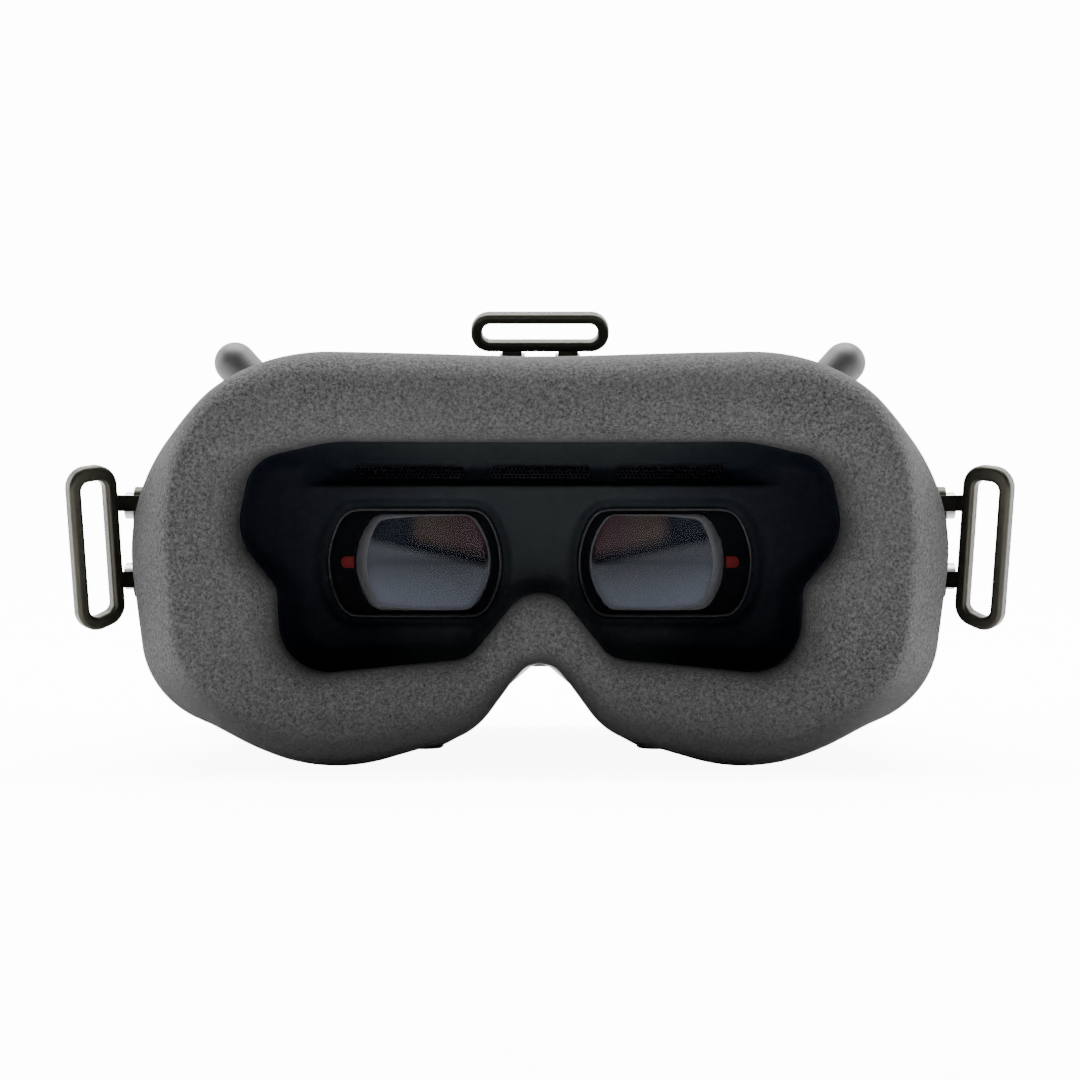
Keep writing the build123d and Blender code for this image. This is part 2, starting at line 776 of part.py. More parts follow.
# ------------------------------------------------------------------ optics, one set for each eye
rod_heights = [lens_z + rod_spread, lens_z - rod_spread]
barrel_radius = lens_radius + barrel_wall
barrel_half_height = lens_half_height + barrel_wall
for side, sx in SIDES.items():
    eye = (sx * lens_x, lens_z)
    apron_centre = (eye[0] + sx * (apron_outer - apron_inner) / 2, lens_z)

    with BuildPart() as lens:
        with Locations((eye[0], lens_front_apex + lens_front_sphere, lens_z)):
            Sphere(lens_front_sphere)
        with Locations((eye[0], lens_back_apex - lens_back_sphere, lens_z)):
            Sphere(lens_back_sphere, mode=Mode.INTERSECT)
        with BuildSketch(facing(lens_front_apex - 1)):
            with Locations(eye):
                add(lens_shape(lens_radius, lens_half_height))
        extrude(amount=-lens_blank, mode=Mode.INTERSECT)
    lens.part.label = f"lens_{side}"
    export_step(lens.part, f"parts/lens_{side}.step")

    with BuildPart() as lens_carrier:
        with BuildSketch(facing(carrier_face_y)):
            with Locations(apron_centre):
                RectangleRounded(apron_inner + apron_outer, 2 * apron_half_height, plate_corner)
        extrude(amount=-apron_thickness)
        with BuildSketch(facing(carrier_face_y)):
            with Locations(eye):
                add(lens_shape(barrel_radius, barrel_half_height))
        extrude(amount=-(barrel_end_y - carrier_face_y))
        with BuildSketch(facing(barrel_end_y - apron_thickness)):
            with Locations(eye):
                Rectangle(display_board_width, display_board_height)
        extrude(amount=-apron_thickness)
        with BuildSketch(Plane.YZ.offset(eye[0] - lug_half_width)):
            for way, z in zip((1, -1), rod_heights):
                with Locations((rod_y, z)):
                    Circle(lug_radius)
                with Locations((rod_y, z - way * lug_radius)):
                    Rectangle(2 * lug_radius, 2 * lug_radius)
        extrude(amount=2 * lug_half_width)
        with BuildSketch(Plane.XY.offset(lens_z - barrel_half_height - knob_boss_drop)):
            with Locations((eye[0], knob_y)):
                Rectangle(2 * knob_boss, 2 * knob_boss)
        extrude(amount=knob_boss_drop + barrel_wall / 2)
        with BuildSketch(facing(carrier_face_y)):
            with Locations(eye):
                add(lens_shape(barrel_bore, lens_half_height - lens_radius + barrel_bore))
        extrude(amount=-(barrel_end_y - carrier_face_y), mode=Mode.SUBTRACT)
        with BuildSketch(facing(carrier_face_y)):
            with Locations(eye):
                add(lens_shape(lens_radius + lens_play, lens_half_height + lens_play))
        extrude(amount=-(lens_seat_y - carrier_face_y), mode=Mode.SUBTRACT)
        with BuildSketch(Plane.YZ.offset(eye[0] - lug_half_width)):
            with Locations(*[(rod_y, z) for z in rod_heights]):
                Circle(rod_radius + rod_play)
        extrude(amount=2 * lug_half_width, mode=Mode.SUBTRACT)
        with BuildSketch(Plane.XY.offset(lens_z - barrel_half_height - knob_boss_drop)):
            with Locations((eye[0], knob_y)):
                Circle(knob_stem_radius + rod_play)
        extrude(amount=knob_boss_drop - knob_seat_floor, mode=Mode.SUBTRACT)
    lens_carrier.part.label = f"lens_carrier_{side}"
    export_step(lens_carrier.part, f"parts/lens_carrier_{side}.step")

    with BuildPart() as ipd_mark:
        with BuildSketch(facing(carrier_face_y - mark_thickness)) as mark_face:
            with Locations((eye[0] + sx * (mark_start + mark_width / 2), lens_z)):
                Rectangle(mark_width, mark_height)
            fillet(mark_face.vertices().group_by(Axis.X)[-1 if sx > 0 else 0], mark_corner)
        extrude(amount=-mark_thickness)
    ipd_mark.part.label = f"ipd_mark_{side}"
    export_step(ipd_mark.part, f"parts/ipd_mark_{side}.step")

    with BuildPart() as display_panel:
        with BuildSketch(facing(barrel_end_y)):
            with Locations(eye):
                Rectangle(display_width, display_height)
        extrude(amount=-display_thickness)
    display_panel.part.label = f"display_panel_{side}"
    export_step(display_panel.part, f"parts/display_panel_{side}.step")

    with BuildPart() as display_board:
        with BuildSketch(facing(barrel_end_y + display_thickness)):
            with Locations(eye):
                Rectangle(display_board_width, display_board_height)
        extrude(amount=-display_board_thickness)
        with BuildSketch(facing(barrel_end_y + display_thickness + display_board_thickness)):
            with Locations((eye[0], lens_z - display_board_height / 4)):
                Rectangle(*display_plug)
        extrude(amount=-display_plug_depth)
    display_board.part.label = f"display_board_{side}"
    export_step(display_board.part, f"parts/display_board_{side}.step")

    knob_top = knob_bottom + knob_height
    boss_low = lens_z - barrel_half_height - knob_boss_drop
    with BuildPart() as focus_knob:
        with BuildSketch(Plane.XY.offset(knob_bottom)):
            with Locations((eye[0], knob_y)):
                Circle(knob_radius)
        extrude(amount=knob_height)
        chamfer(focus_knob.faces().sort_by(Axis.Z)[0].edges(), knob_chamfer)
        with BuildSketch(Plane.XY.offset(knob_bottom)):
            with Locations((eye[0], knob_y)):
                with PolarLocations(knob_radius, knob_flutes):
                    Circle(knob_flute_radius)
        extrude(amount=knob_height, mode=Mode.SUBTRACT)
        with BuildSketch(Plane.XY.offset(knob_top)):
            with Locations((eye[0], knob_y)):
                Circle(knob_stem_radius)
        extrude(amount=boss_low + knob_boss_drop - knob_seat_floor - knob_end_gap - knob_top)
        with BuildSketch(Plane.XY.offset(knob_bottom)):
            with Locations((eye[0], knob_y)):
                Rectangle(*knob_coin_slot)
        extrude(amount=knob_coin_depth, mode=Mode.SUBTRACT)
    focus_knob.part.label = f"focus_knob_{side}"
    export_step(focus_knob.part, f"parts/focus_knob_{side}.step")

# ------------------------------------------------------------------ guide rods and optics frame
with BuildPart() as guide_rods:
    with BuildSketch(Plane.YZ.offset(-rod_half_length)):
        with Locations(*[(rod_y, z) for z in rod_heights]):
            Circle(rod_radius)
    extrude(amount=2 * rod_half_length)
guide_rods.part.label = "guide_rods"
export_step(guide_rods.part, "parts/guide_rods.step")

posts = [(sx * x, z, y) for sx in SIDES.values()
         for (x, z), y in ((frame_posts_top, floor_back_y), (frame_posts_low, pad_plate_y + wall))]
with BuildPart() as optics_frame:
    with BuildSketch(facing(frame_back_y)):
        with Locations((0, lens_z)):
            RectangleRounded(2 * frame_half_width, 2 * frame_half_height, plate_corner)
            Rectangle(2 * (frame_half_width - frame_bar), 2 * (frame_half_height - frame_bar),
                      mode=Mode.SUBTRACT)
        with Locations((0, lens_z - frame_half_height)):
            Rectangle(2 * frame_nose_gap, 3 * frame_bar, mode=Mode.SUBTRACT)
    extrude(amount=-(frame_front_y - frame_back_y))
    for x, z, y in posts:
        with BuildSketch(facing(y)):
            with Locations((x, z)):
                Circle(frame_post_radius)
        extrude(amount=-(frame_back_y - y + frame_post_lap))
        with BuildSketch(facing(frame_front_y)):
            with Locations((x, z)):
                Circle(small_screw_shank)
        extrude(amount=frame_front_y - y, mode=Mode.SUBTRACT)
    with BuildSketch(Plane.YZ.offset(-rod_half_length)):
        with Locations(*[(rod_y, z) for z in rod_heights]):
            Circle(rod_radius)
    extrude(amount=2 * rod_half_length, mode=Mode.SUBTRACT)
optics_frame.part.label = "optics_frame"
export_step(optics_frame.part, "parts/optics_frame.step")

with BuildPart() as frame_screws:
    for x, z, y in posts:
        with BuildSketch(facing(frame_front_y)):
            with Locations((x, z)):
                Circle(small_screw_head)
        extrude(amount=-frame_screw_head)
        with BuildSketch(facing(frame_front_y)):
            with Locations((x, z)):
                Circle(small_screw_shank)
        extrude(amount=frame_front_y - y)
frame_screws.part.label = "frame_screws"
export_step(frame_screws.part, "parts/frame_screws.step")

# ------------------------------------------------------------------ main board and cooling
with BuildPart() as main_board:
    with BuildSketch(facing(board_back_y)):
        with Locations((0, (board_low + board_high) / 2)):
            RectangleRounded(2 * board_half_width, board_high - board_low, plate_corner)
    extrude(amount=-board_thickness)
main_board.part.label = "main_board"
export_step(main_board.part, "parts/main_board.step")

with BuildPart() as processor_shield:
    with BuildSketch(facing(board_front_y)):
        with Locations((0, cooler_z)):
            RectangleRounded(shield_width, shield_height, small_corner)
    extrude(amount=-shield_depth)
processor_shield.part.label = "processor_shield"
export_step(processor_shield.part, "parts/processor_shield.step")

sink_back_y = board_front_y + shield_depth
sink_front_y = sink_back_y + sink_base_depth + sink_fin_depth
with BuildPart() as heat_sink:
    with BuildSketch(facing(sink_back_y)):
        with Locations((0, cooler_z)):
            Rectangle(shield_width, shield_height)
    extrude(amount=-sink_base_depth)
    with BuildSketch(facing(sink_back_y + sink_base_depth)):
        with Locations((0, cooler_z)):
            with GridLocations((shield_width - sink_fin_thickness) / (sink_fins - 1), 1, sink_fins, 1):
                Rectangle(sink_fin_thickness, shield_height)
    extrude(amount=-sink_fin_depth)
heat_sink.part.label = "heat_sink"
export_step(heat_sink.part, "parts/heat_sink.step")

with BuildPart() as fan_housing:
    with BuildSketch(facing(sink_front_y)):
        with Locations((0, cooler_z)):
            RectangleRounded(fan_size, fan_size, plate_corner)
    extrude(amount=-fan_depth)
    with BuildSketch(facing(sink_front_y + fan_plate)):
        with Locations((0, cooler_z)):
            Circle(fan_bore)
    extrude(amount=-fan_depth, mode=Mode.SUBTRACT)
    with BuildSketch(facing(sink_front_y)):
        with Locations((0, cooler_z)):
            Circle(fan_bore)
            Circle(fan_hub_radius, mode=Mode.SUBTRACT)
            with PolarLocations(0, 3):
                Rectangle(2 * fan_bore, fan_strut, align=(Align.MIN, Align.CENTER), mode=Mode.SUBTRACT)
    extrude(amount=-fan_plate, mode=Mode.SUBTRACT)
    with BuildSketch(facing(sink_front_y + fan_plate)):
        with Locations((0, cooler_z)):
            Circle(fan_shaft_radius)
    extrude(amount=-(fan_depth - 2 * fan_plate))
fan_housing.part.label = "fan_housing"
export_step(fan_housing.part, "parts/fan_housing.step")

rotor_back_y = sink_front_y + fan_plate + rotor_gap
rotor_depth = fan_depth - fan_plate - rotor_gap - rotor_recess
with BuildPart() as fan_rotor:
    with BuildSketch(facing(rotor_back_y)):
        with Locations((0, cooler_z)):
            Circle(fan_hub_radius)
            with PolarLocations(0, fan_blades):
                Rectangle(fan_bore - fan_tip_gap, fan_blade_thickness, align=(Align.MIN, Align.CENTER))
    extrude(amount=-rotor_depth)
    with BuildSketch(facing(rotor_back_y)):
        with Locations((0, cooler_z)):
            Circle(fan_shaft_radius + fan_shaft_play)
    extrude(amount=-(rotor_depth - rotor_cap), mode=Mode.SUBTRACT)
fan_rotor.part.label = "fan_rotor"
export_step(fan_rotor.part, "parts/fan_rotor.step")

# ------------------------------------------------------------------ antennas
with BuildPart() as antenna_jacks:
    for plane in seat_planes.values():
        with BuildSketch(plane):
            RegularPolygon(jack_flange_radius, 6)
        extrude(amount=jack_flange_thickness)
        with BuildSketch(plane.offset(-jack_tail)):
            Circle(jack_radius)
        extrude(amount=jack_length + jack_tail)
        with BuildSketch(plane.offset(jack_socket_floor)):
            Circle(jack_socket_radius)
        extrude(amount=jack_length - jack_socket_floor, mode=Mode.SUBTRACT)
        with BuildSketch(plane.offset(jack_pin_floor)):
            Circle(jack_pin_radius)
        extrude(amount=jack_socket_floor, mode=Mode.SUBTRACT)
antenna_jacks.part.label = "antenna_jacks"
export_step(antenna_jacks.part, "parts/antenna_jacks.step")

for (level, side), plane in seat_planes.items():
    length = ANTENNAS[level][2]
    with BuildPart() as antenna:
        with BuildSketch(plane.offset(antenna_pin_start)):
            Circle(antenna_pin_radius)
        extrude(amount=antenna_root - antenna_pin_start)
        with BuildSketch(plane.offset(jack_length + antenna_clearance)):
            Circle(antenna_collar_radius)
        extrude(amount=nut_lip - jack_length - 1.5 * antenna_clearance)
        with BuildSketch(plane.offset(jack_length + antenna_clearance)):
            Circle(antenna_neck_radius)
        extrude(amount=antenna_root - jack_length)
        with BuildSketch(plane.offset(antenna_root)):
            Circle(antenna_root_radius)
        with BuildSketch(plane.offset(length)):
            Circle(antenna_tip_radius)
        loft(ruled=True)
        with Locations(plane * Location((0, 0, length))):
            Sphere(antenna_tip_radius)
    antenna.part.label = f"antenna_{level}_{side}"
    export_step(antenna.part, f"parts/antenna_{level}_{side}.step")

    with BuildPart() as antenna_nut:
        with BuildSketch(plane.offset(nut_start)):
            RegularPolygon(nut_radius, 6)
        extrude(amount=nut_hex_end - nut_start)
        with BuildSketch(plane.offset(nut_hex_end)):
            Circle(nut_radius)
        extrude(amount=nut_end - nut_hex_end)
        with BuildSketch(plane.offset(nut_start)):
            Circle(jack_radius + nut_play)
        extrude(amount=nut_lip - nut_start, mode=Mode.SUBTRACT)
        with BuildSketch(plane.offset(nut_start)):
            Circle(antenna_neck_radius + nut_play)
        extrude(amount=nut_end, mode=Mode.SUBTRACT)
    antenna_nut.part.label = f"antenna_nut_{level}_{side}"
    export_step(antenna_nut.part, f"parts/antenna_nut_{level}_{side}.step")

# ------------------------------------------------------------------ controls
under_top = shell_top - wall
button_low = under_top - button_rest_gap - button_flange_thickness
for name, place in ROUND_CONTROLS.items():
    with BuildPart() as button:
        with BuildSketch(Plane.XY.offset(button_low)):
            with Locations(place):
                Circle(button_radius + button_flange)
        extrude(amount=button_flange_thickness)
        with BuildSketch(Plane.XY.offset(button_low)):
            with Locations(place):
                Circle(button_radius)
        extrude(amount=shell_top + button_proud - button_low)
        fillet(button.faces().sort_by(Axis.Z)[-1].edges(), button_rounding)
    button.part.label = name
    export_step(button.part, f"parts/{name}.step")

with BuildPart() as nav_gimbal:
    with BuildSketch(Plane.XY.offset(nav_pivot_z - gimbal_height / 2)):
        with Locations(nav_at):
            Circle(gimbal_outer)
            Circle(gimbal_inner, mode=Mode.SUBTRACT)
    extrude(amount=gimbal_height)
    for sx in SIDES.values():
        with BuildSketch(Plane.YZ.offset(nav_at[0] + sx * (gimbal_outer - pivot_radius))):
            with Locations((nav_at[1], nav_pivot_z)):
                Circle(pivot_radius)
        extrude(amount=sx * (gimbal_post_gap + gimbal_post + pivot_radius))
    with BuildSketch(Plane.XZ.offset(-(nav_at[1] - gimbal_outer))):
        with Locations((nav_at[0], nav_pivot_z)):
            Circle(pivot_radius + pivot_play)
    extrude(amount=-2 * gimbal_outer, mode=Mode.SUBTRACT)
nav_gimbal.part.label = "nav_gimbal"
export_step(nav_gimbal.part, "parts/nav_gimbal.step")

with BuildPart() as nav_stem:
    with BuildSketch(Plane.XY.offset(nav_stem_low)):
        with Locations(nav_at):
            Circle(nav_stem_radius)
    extrude(amount=nav_stem_top - nav_stem_low)
    with BuildSketch(Plane.XZ.offset(-(nav_at[1] - stem_pivot_reach))):
        with Locations((nav_at[0], nav_pivot_z)):
            Circle(pivot_radius)
    extrude(amount=-2 * stem_pivot_reach)
nav_stem.part.label = "nav_stem"
export_step(nav_stem.part, "parts/nav_stem.step")

with BuildPart() as nav_cap:
    with BuildSketch(Plane.XY.offset(nav_cap_low)):
        with Locations(nav_at):
            Circle(nav_cap_radius)
    extrude(amount=nav_cap_high - nav_cap_low)
    fillet(nav_cap.faces().sort_by(Axis.Z)[-1].edges(), nav_cap_rounding)
    with BuildSketch(Plane.XY.offset(nav_cap_low)):
        with Locations(nav_at):
            Circle(nav_stem_radius + nav_play)
    extrude(amount=nav_stem_top - nav_cap_low + nav_press + nav_end_gap, mode=Mode.SUBTRACT)
nav_cap.part.label = "nav_cap"
export_step(nav_cap.part, "parts/nav_cap.step")

with BuildPart() as control_boards:
    with BuildSketch(Plane.XY.offset(control_board_z)):
        for side in SIDES:
            with Locations((board_centres[side], control_y)):
                Rectangle(2 * board_half_spans[side], 2 * control_board_half_depth)
    extrude(amount=control_board_thickness)
control_boards.part.label = "control_boards"
export_step(control_boards.part, "parts/control_boards.step")

switch_base = control_board_z + control_board_thickness
with BuildPart() as control_switches:
    with BuildSketch(Plane.XY.offset(switch_base)):
        with Locations(*ROUND_CONTROLS.values()):
            Rectangle(switch_size, switch_size)
    extrude(amount=button_low - button_travel - switch_gap - switch_base)
    with BuildSketch(Plane.XY.offset(switch_base)):
        with Locations(nav_at):
            Rectangle(2 * switch_size, 2 * switch_size)
    extrude(amount=nav_stem_low - switch_base - nav_stem_gap)
    with BuildSketch(Plane.XY.offset(switch_base)):
        with Locations(nav_at):
            Rectangle(2 * (gimbal_outer + gimbal_post_gap + gimbal_post), gimbal_post_depth)
    extrude(amount=nav_stem_low - switch_base - nav_stem_gap)
    with BuildSketch(Plane.XY.offset(switch_base)):
        for sx in SIDES.values():
            with Locations((nav_at[0] + sx * (gimbal_outer + gimbal_post_gap + gimbal_post / 2), nav_at[1])):
                Rectangle(gimbal_post, gimbal_post_depth)
    extrude(amount=nav_pivot_z + gimbal_height - switch_base)
    with BuildSketch(Plane.YZ.offset(nav_at[0] - 2 * gimbal_outer)):
        with Locations((nav_at[1], nav_pivot_z)):
            Circle(pivot_radius + pivot_play)
    extrude(amount=4 * gimbal_outer, mode=Mode.SUBTRACT)
control_switches.part.label = "control_switches"
export_step(control_switches.part, "parts/control_switches.step")

with BuildPart() as channel_display:
    with BuildSketch(Plane.XY.offset(shell_top - display_window_glass)):
        with Locations(display_window):
            Rectangle(*display_window_size)
    extrude(amount=display_window_glass)
channel_display.part.label = "channel_display"
export_step(channel_display.part, "parts/channel_display.step")

# ------------------------------------------------------------------ ports
for name, (y, barrel) in sockets.items():
    mouth_x = side_x(y) + port_proud
    bore = power_bore if name == "power" else jack_bore
    with BuildPart() as socket:
        with BuildSketch(Plane.YZ.offset(-mouth_x)):
            with Locations((y, port_z)):
                Circle(barrel)
        extrude(amount=jack_bore_length + socket_end)
        with BuildSketch(Plane.YZ.offset(-mouth_x + socket_body_start)):
            with Locations((y, port_z)):
                Rectangle(2 * barrel, 2 * barrel + socket_body_margin)
        extrude(amount=jack_bore_length + socket_end - socket_body_start)
        with BuildSketch(Plane.YZ.offset(-mouth_x)):
            with Locations((y, port_z)):
                Circle(bore)
        extrude(amount=jack_bore_length, mode=Mode.SUBTRACT)
    socket.part.label = f"{name}_socket"
    export_step(socket.part, f"parts/{name}_socket.step")

with BuildPart() as data_ports:
    for y, size in ((data_y, usb_size), (card_y, card_size)):
        mouth_x = side_x(y) - size[0] / 2 * (body_half_width - front_half_width) / (front_wall_y - seam_y)
        with BuildSketch(Plane.YZ.offset(mouth_x)):
            with Locations((y, port_z)):
                Rectangle(*[span + 2 * port_rim for span in size])
        extrude(amount=-port_body_depth)
        with BuildSketch(Plane.YZ.offset(mouth_x)):
            with Locations((y, port_z)):
                Rectangle(*size)
        extrude(amount=-port_hole_depth, mode=Mode.SUBTRACT)
data_ports.part.label = "data_ports"
export_step(data_ports.part, "parts/data_ports.step")

# ------------------------------------------------------------------ strap brackets
half_loop = side_slot / 2 + loop_bar
side_outer = [
    (-half_loop, side_loop_high, side_loop_corner),
    (half_loop, side_loop_high, side_loop_corner),
    (half_loop, side_loop_low_outer, side_loop_corner),
    (-half_loop, side_loop_low_inner, side_loop_corner),
]
slot_corner = side_loop_corner - loop_bar
side_inner = [
    (-side_slot / 2, side_loop_high - side_slot_margins[0], slot_corner),
    (side_slot / 2, side_loop_high - side_slot_margins[0], slot_corner),
    (side_slot / 2, side_loop_low_outer + side_slot_margins[1], slot_corner),
    (-side_slot / 2, side_loop_low_inner + side_slot_margins[2], slot_corner),
]
plate_mid_z = sum(bracket_plate_z) / 2
plate_mid_y = sum(bracket_plate_y) / 2
for side, sx in SIDES.items():
    loop_out = Vector(sx * side_loop_out[0], side_loop_out[1], side_loop_out[2]).normalized()
    loop_up = Vector(sx * side_loop_up[0], side_loop_up[1], side_loop_up[2])
    centre = Vector(sx * side_loop_centre[0], side_loop_centre[1], side_loop_centre[2])
    normal = loop_out.cross(loop_up).normalized()
    up = normal.cross(loop_out)
    loop_plane = Plane(origin=centre - normal * (loop_thickness / 2), x_dir=loop_out, z_dir=normal)
    with BuildPart() as side_bracket:
        with BuildSketch(loop_plane):
            add(slot_loop(side_outer, side_inner))
        extrude(amount=loop_thickness)
        fillet(side_bracket.edges(), loop_rounding)
        with BuildSketch(Plane.YZ.offset(sx * bracket_seat_x)):
            with Locations((plate_mid_y, plate_mid_z)):
                RectangleRounded(bracket_plate_y[1] - bracket_plate_y[0],
                                 bracket_plate_z[1] - bracket_plate_z[0], plate_corner)
        extrude(amount=sx * bracket_plate)
        for z in bracket_arm_z:
            bar = centre - loop_out * (half_loop - loop_bar / 2) + up * ((z - centre.Z) / up.Z)
            near = sx * bracket_seat_x
            far = sx * (bracket_seat_x + bracket_plate)
            with BuildSketch(Plane.XY.offset(z - bracket_arm_height / 2)):
                with BuildLine():
                    Polyline((near, bracket_plate_y[0] + bracket_arm_lap), (near, bracket_plate_y[0]),
                             (bar.X - sx * arm_end_inner[0], bar.Y + arm_end_inner[1]),
                             (bar.X + sx * arm_end_outer[0], bar.Y + arm_end_outer[1]),
                             (far, bracket_plate_y[0] + bracket_arm_step),
                             (far, bracket_plate_y[0] + bracket_arm_lap), close=True)
                make_face()
            extrude(amount=bracket_arm_height)
        with BuildSketch(Plane.YZ.offset(sx * bracket_seat_x)):
            with Locations(*side_bosses):
                Circle(screw_shank_radius)
        extrude(amount=sx * bracket_plate, mode=Mode.SUBTRACT)
    side_bracket.part.label = f"side_bracket_{side}"
    export_step(side_bracket.part, f"parts/side_bracket_{side}.step")

top_height = top_slot[1] + 2 * top_loop_bar
top_outer = [(sx * top_loop_width / 2, z, top_loop_corner) for sx, z in
             ((-1, top_height), (1, top_height), (1, 0.0), (-1, 0.0))]
top_inner = [(sx * top_slot[0] / 2, z, top_loop_corner - top_loop_bar) for sx, z in
             ((-1, top_height - top_loop_bar), (1, top_height - top_loop_bar),
              (1, top_loop_bar), (-1, top_loop_bar))]
lean = radians(top_loop_lean)
top_plane = Plane(origin=(0, top_loop_foot[0], top_loop_foot[1]), x_dir=(1, 0, 0),
                  z_dir=(0, -cos(lean), -sin(lean)))
with BuildPart() as top_bracket:
    with BuildSketch(top_plane):
        add(slot_loop(top_outer, top_inner))
    extrude(amount=loop_thickness)
    fillet(top_bracket.edges(), loop_rounding)
    with BuildSketch(Plane.XY.offset(shell_top)):
        with Locations((0, top_loop_foot[0] + top_plate_depth / 2 - top_plate_lap)):
            RectangleRounded(top_plate_width, top_plate_depth + 2 * top_plate_lap, small_corner)
    extrude(amount=top_plate_thickness)
    with BuildSketch(Plane.XY.offset(shell_top + top_plate_thickness / 2)):
        for sx in SIDES.values():
            with Locations((sx * top_screw_x, top_foot_y)):
                Rectangle(*top_foot)
    extrude(amount=top_loop_foot[1] + top_loop_bar / 4 - shell_top - top_plate_thickness / 2)
    with BuildSketch(Plane.XY.offset(shell_top)):
        with Locations(*top_screws):
            Circle(screw_shank_radius)
    extrude(amount=top_plate_thickness, mode=Mode.SUBTRACT)
top_bracket.part.label = "top_bracket"
export_step(top_bracket.part, "parts/top_bracket.step")

with BuildPart() as bracket_screws:
    for sx in SIDES.values():
        seat = sx * (bracket_seat_x + bracket_plate)
        with BuildSketch(Plane.YZ.offset(seat)):
            with Locations(*side_bosses):
                Circle(screw_head_radius)
        extrude(amount=sx * screw_head_height)
        with BuildSketch(Plane.YZ.offset(seat)):
            with Locations(*side_bosses):
                Circle(screw_shank_radius)
        extrude(amount=-sx * screw_shank_length)
    with BuildSketch(Plane.XY.offset(shell_top + top_plate_thickness)):
        with Locations(*top_screws):
            Circle(screw_head_radius)
    extrude(amount=screw_head_height)
    with BuildSketch(Plane.XY.offset(shell_top + top_plate_thickness)):
        with Locations(*top_screws):
            Circle(screw_shank_radius)
    extrude(amount=-screw_shank_length)
bracket_screws.part.label = "bracket_screws"
export_step(bracket_screws.part, "parts/bracket_screws.step")
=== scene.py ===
"""Looks of a pair of fpv goggles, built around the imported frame.

The frame brings the housing, optics, controls, antennas and strap brackets as fixed parts. This
script adds the soft pad, the moulded face plate, the lenses and small trim, gives every piece its
finish, and sets a plain studio. Lengths in the classes are millimetres; meshes are made in metres.
"""
import logging
import math
from dataclasses import dataclass, field
from enum import Enum
from typing import Any, Sequence

import bmesh
import bpy
import numpy as np
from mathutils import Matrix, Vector, noise


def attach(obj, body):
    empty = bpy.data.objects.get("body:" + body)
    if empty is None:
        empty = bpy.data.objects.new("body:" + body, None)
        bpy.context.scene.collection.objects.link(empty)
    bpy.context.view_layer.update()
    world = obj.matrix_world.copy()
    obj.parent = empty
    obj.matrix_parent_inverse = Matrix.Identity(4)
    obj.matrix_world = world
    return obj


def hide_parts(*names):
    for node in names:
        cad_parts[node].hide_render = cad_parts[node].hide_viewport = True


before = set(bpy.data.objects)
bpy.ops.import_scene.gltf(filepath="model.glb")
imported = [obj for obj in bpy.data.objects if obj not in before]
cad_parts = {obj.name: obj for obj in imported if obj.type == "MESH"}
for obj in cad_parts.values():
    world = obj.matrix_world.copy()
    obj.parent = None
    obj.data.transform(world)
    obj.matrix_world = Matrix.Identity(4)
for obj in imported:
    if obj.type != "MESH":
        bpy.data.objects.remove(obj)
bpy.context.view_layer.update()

log = logging.getLogger("goggles")

MM = 0.001
HOUSING = "goggle_housing"
SIDES = {"left": -1, "right": 1}
Corner = tuple[float, float, float]
Colour = tuple[float, float, float]


# ------------------------------------------------------------------ outlines
def mirrored(half: Sequence[Corner]) -> list[Corner]:
    """Close a half outline by mirroring it in the middle plane.

    Args:
        half: Corners (x, z, radius) of the right half, from the top down.

    Returns:
        All corners, clockwise from the top right.
    """
    return list(half) + [(-x, z, r) for x, z, r in reversed(half) if x > 0]


def rounded(corners: Sequence[Corner], steps: int = 14) -> np.ndarray:
    """Trace a closed polygon whose corners are arcs.

    Args:
        corners: Corners (x, z, radius) in order.
        steps: Points on each arc.

    Returns:
        Points as an (n, 2) array in millimetres.
    """
    points = []
    count = len(corners)
    for i, (x, z, r) in enumerate(corners):
        here = np.array((x, z))
        back = np.array(corners[i - 1][:2]) - here
        ahead = np.array(corners[(i + 1) % count][:2]) - here
        back /= np.linalg.norm(back)
        ahead /= np.linalg.norm(ahead)
        half_angle = math.acos(np.clip(back @ ahead, -1, 1)) / 2
        middle = back + ahead
        centre = here + middle / np.linalg.norm(middle) * r / math.sin(half_angle)
        reach = r / math.tan(half_angle)
        first = here + back * reach - centre
        last = here + ahead * reach - centre
        start = math.atan2(first[1], first[0])
        turn = math.atan2(last[1], last[0]) - start
        turn = (turn + math.pi) % (2 * math.pi) - math.pi
        for k in range(steps + 1):
            angle = start + turn * k / steps
            points.append(centre + r * np.array((math.cos(angle), math.sin(angle))))
    return np.array(points)


class HalfOutline:
    """Right half of a mirrored outline, walked from its top middle to its bottom middle."""

    def __init__(self, half: Sequence[Corner], stops: Sequence[float], steps: int = 24) -> None:
        """Trace the outline.

        Args:
            half: Corners (x, z, radius) of the right half, from the top down.
            stops: Which corners are matched with those of another outline; a half lies between two.
            steps: Points on each corner's arc.
        """
        traced = rounded(mirrored(half), steps)
        used = traced[: len(half) * (steps + 1) - (steps // 2 if half[-1][0] == 0 else 0)]
        self.points = np.vstack([(0.0, used[0][1]), used])
        self.points[-1][0] = 0.0
        strides = np.linalg.norm(np.diff(self.points, axis=0), axis=1)
        self.lengths = np.concatenate([[0.0], np.cumsum(strides)])
        corners = [self.lengths[1 + i * (steps + 1) + steps // 2] for i in range(len(half) - 1)]
        middles = np.interp(stops, np.arange(len(corners)), corners)
        self.marks = np.array([0.0, *middles, self.lengths[-1]])

    def at(self, shares: np.ndarray) -> np.ndarray:
        """Points at these shares, where each whole number is a matched stop.

        Args:
            shares: Values from 0, the top middle, to the number of stretches.

        Returns:
            Points as an (n, 2) array.
        """
        run = np.interp(shares, np.arange(len(self.marks)), self.marks)
        return np.stack([np.interp(run, self.lengths, self.points[:, k]) for k in (0, 1)], axis=1)


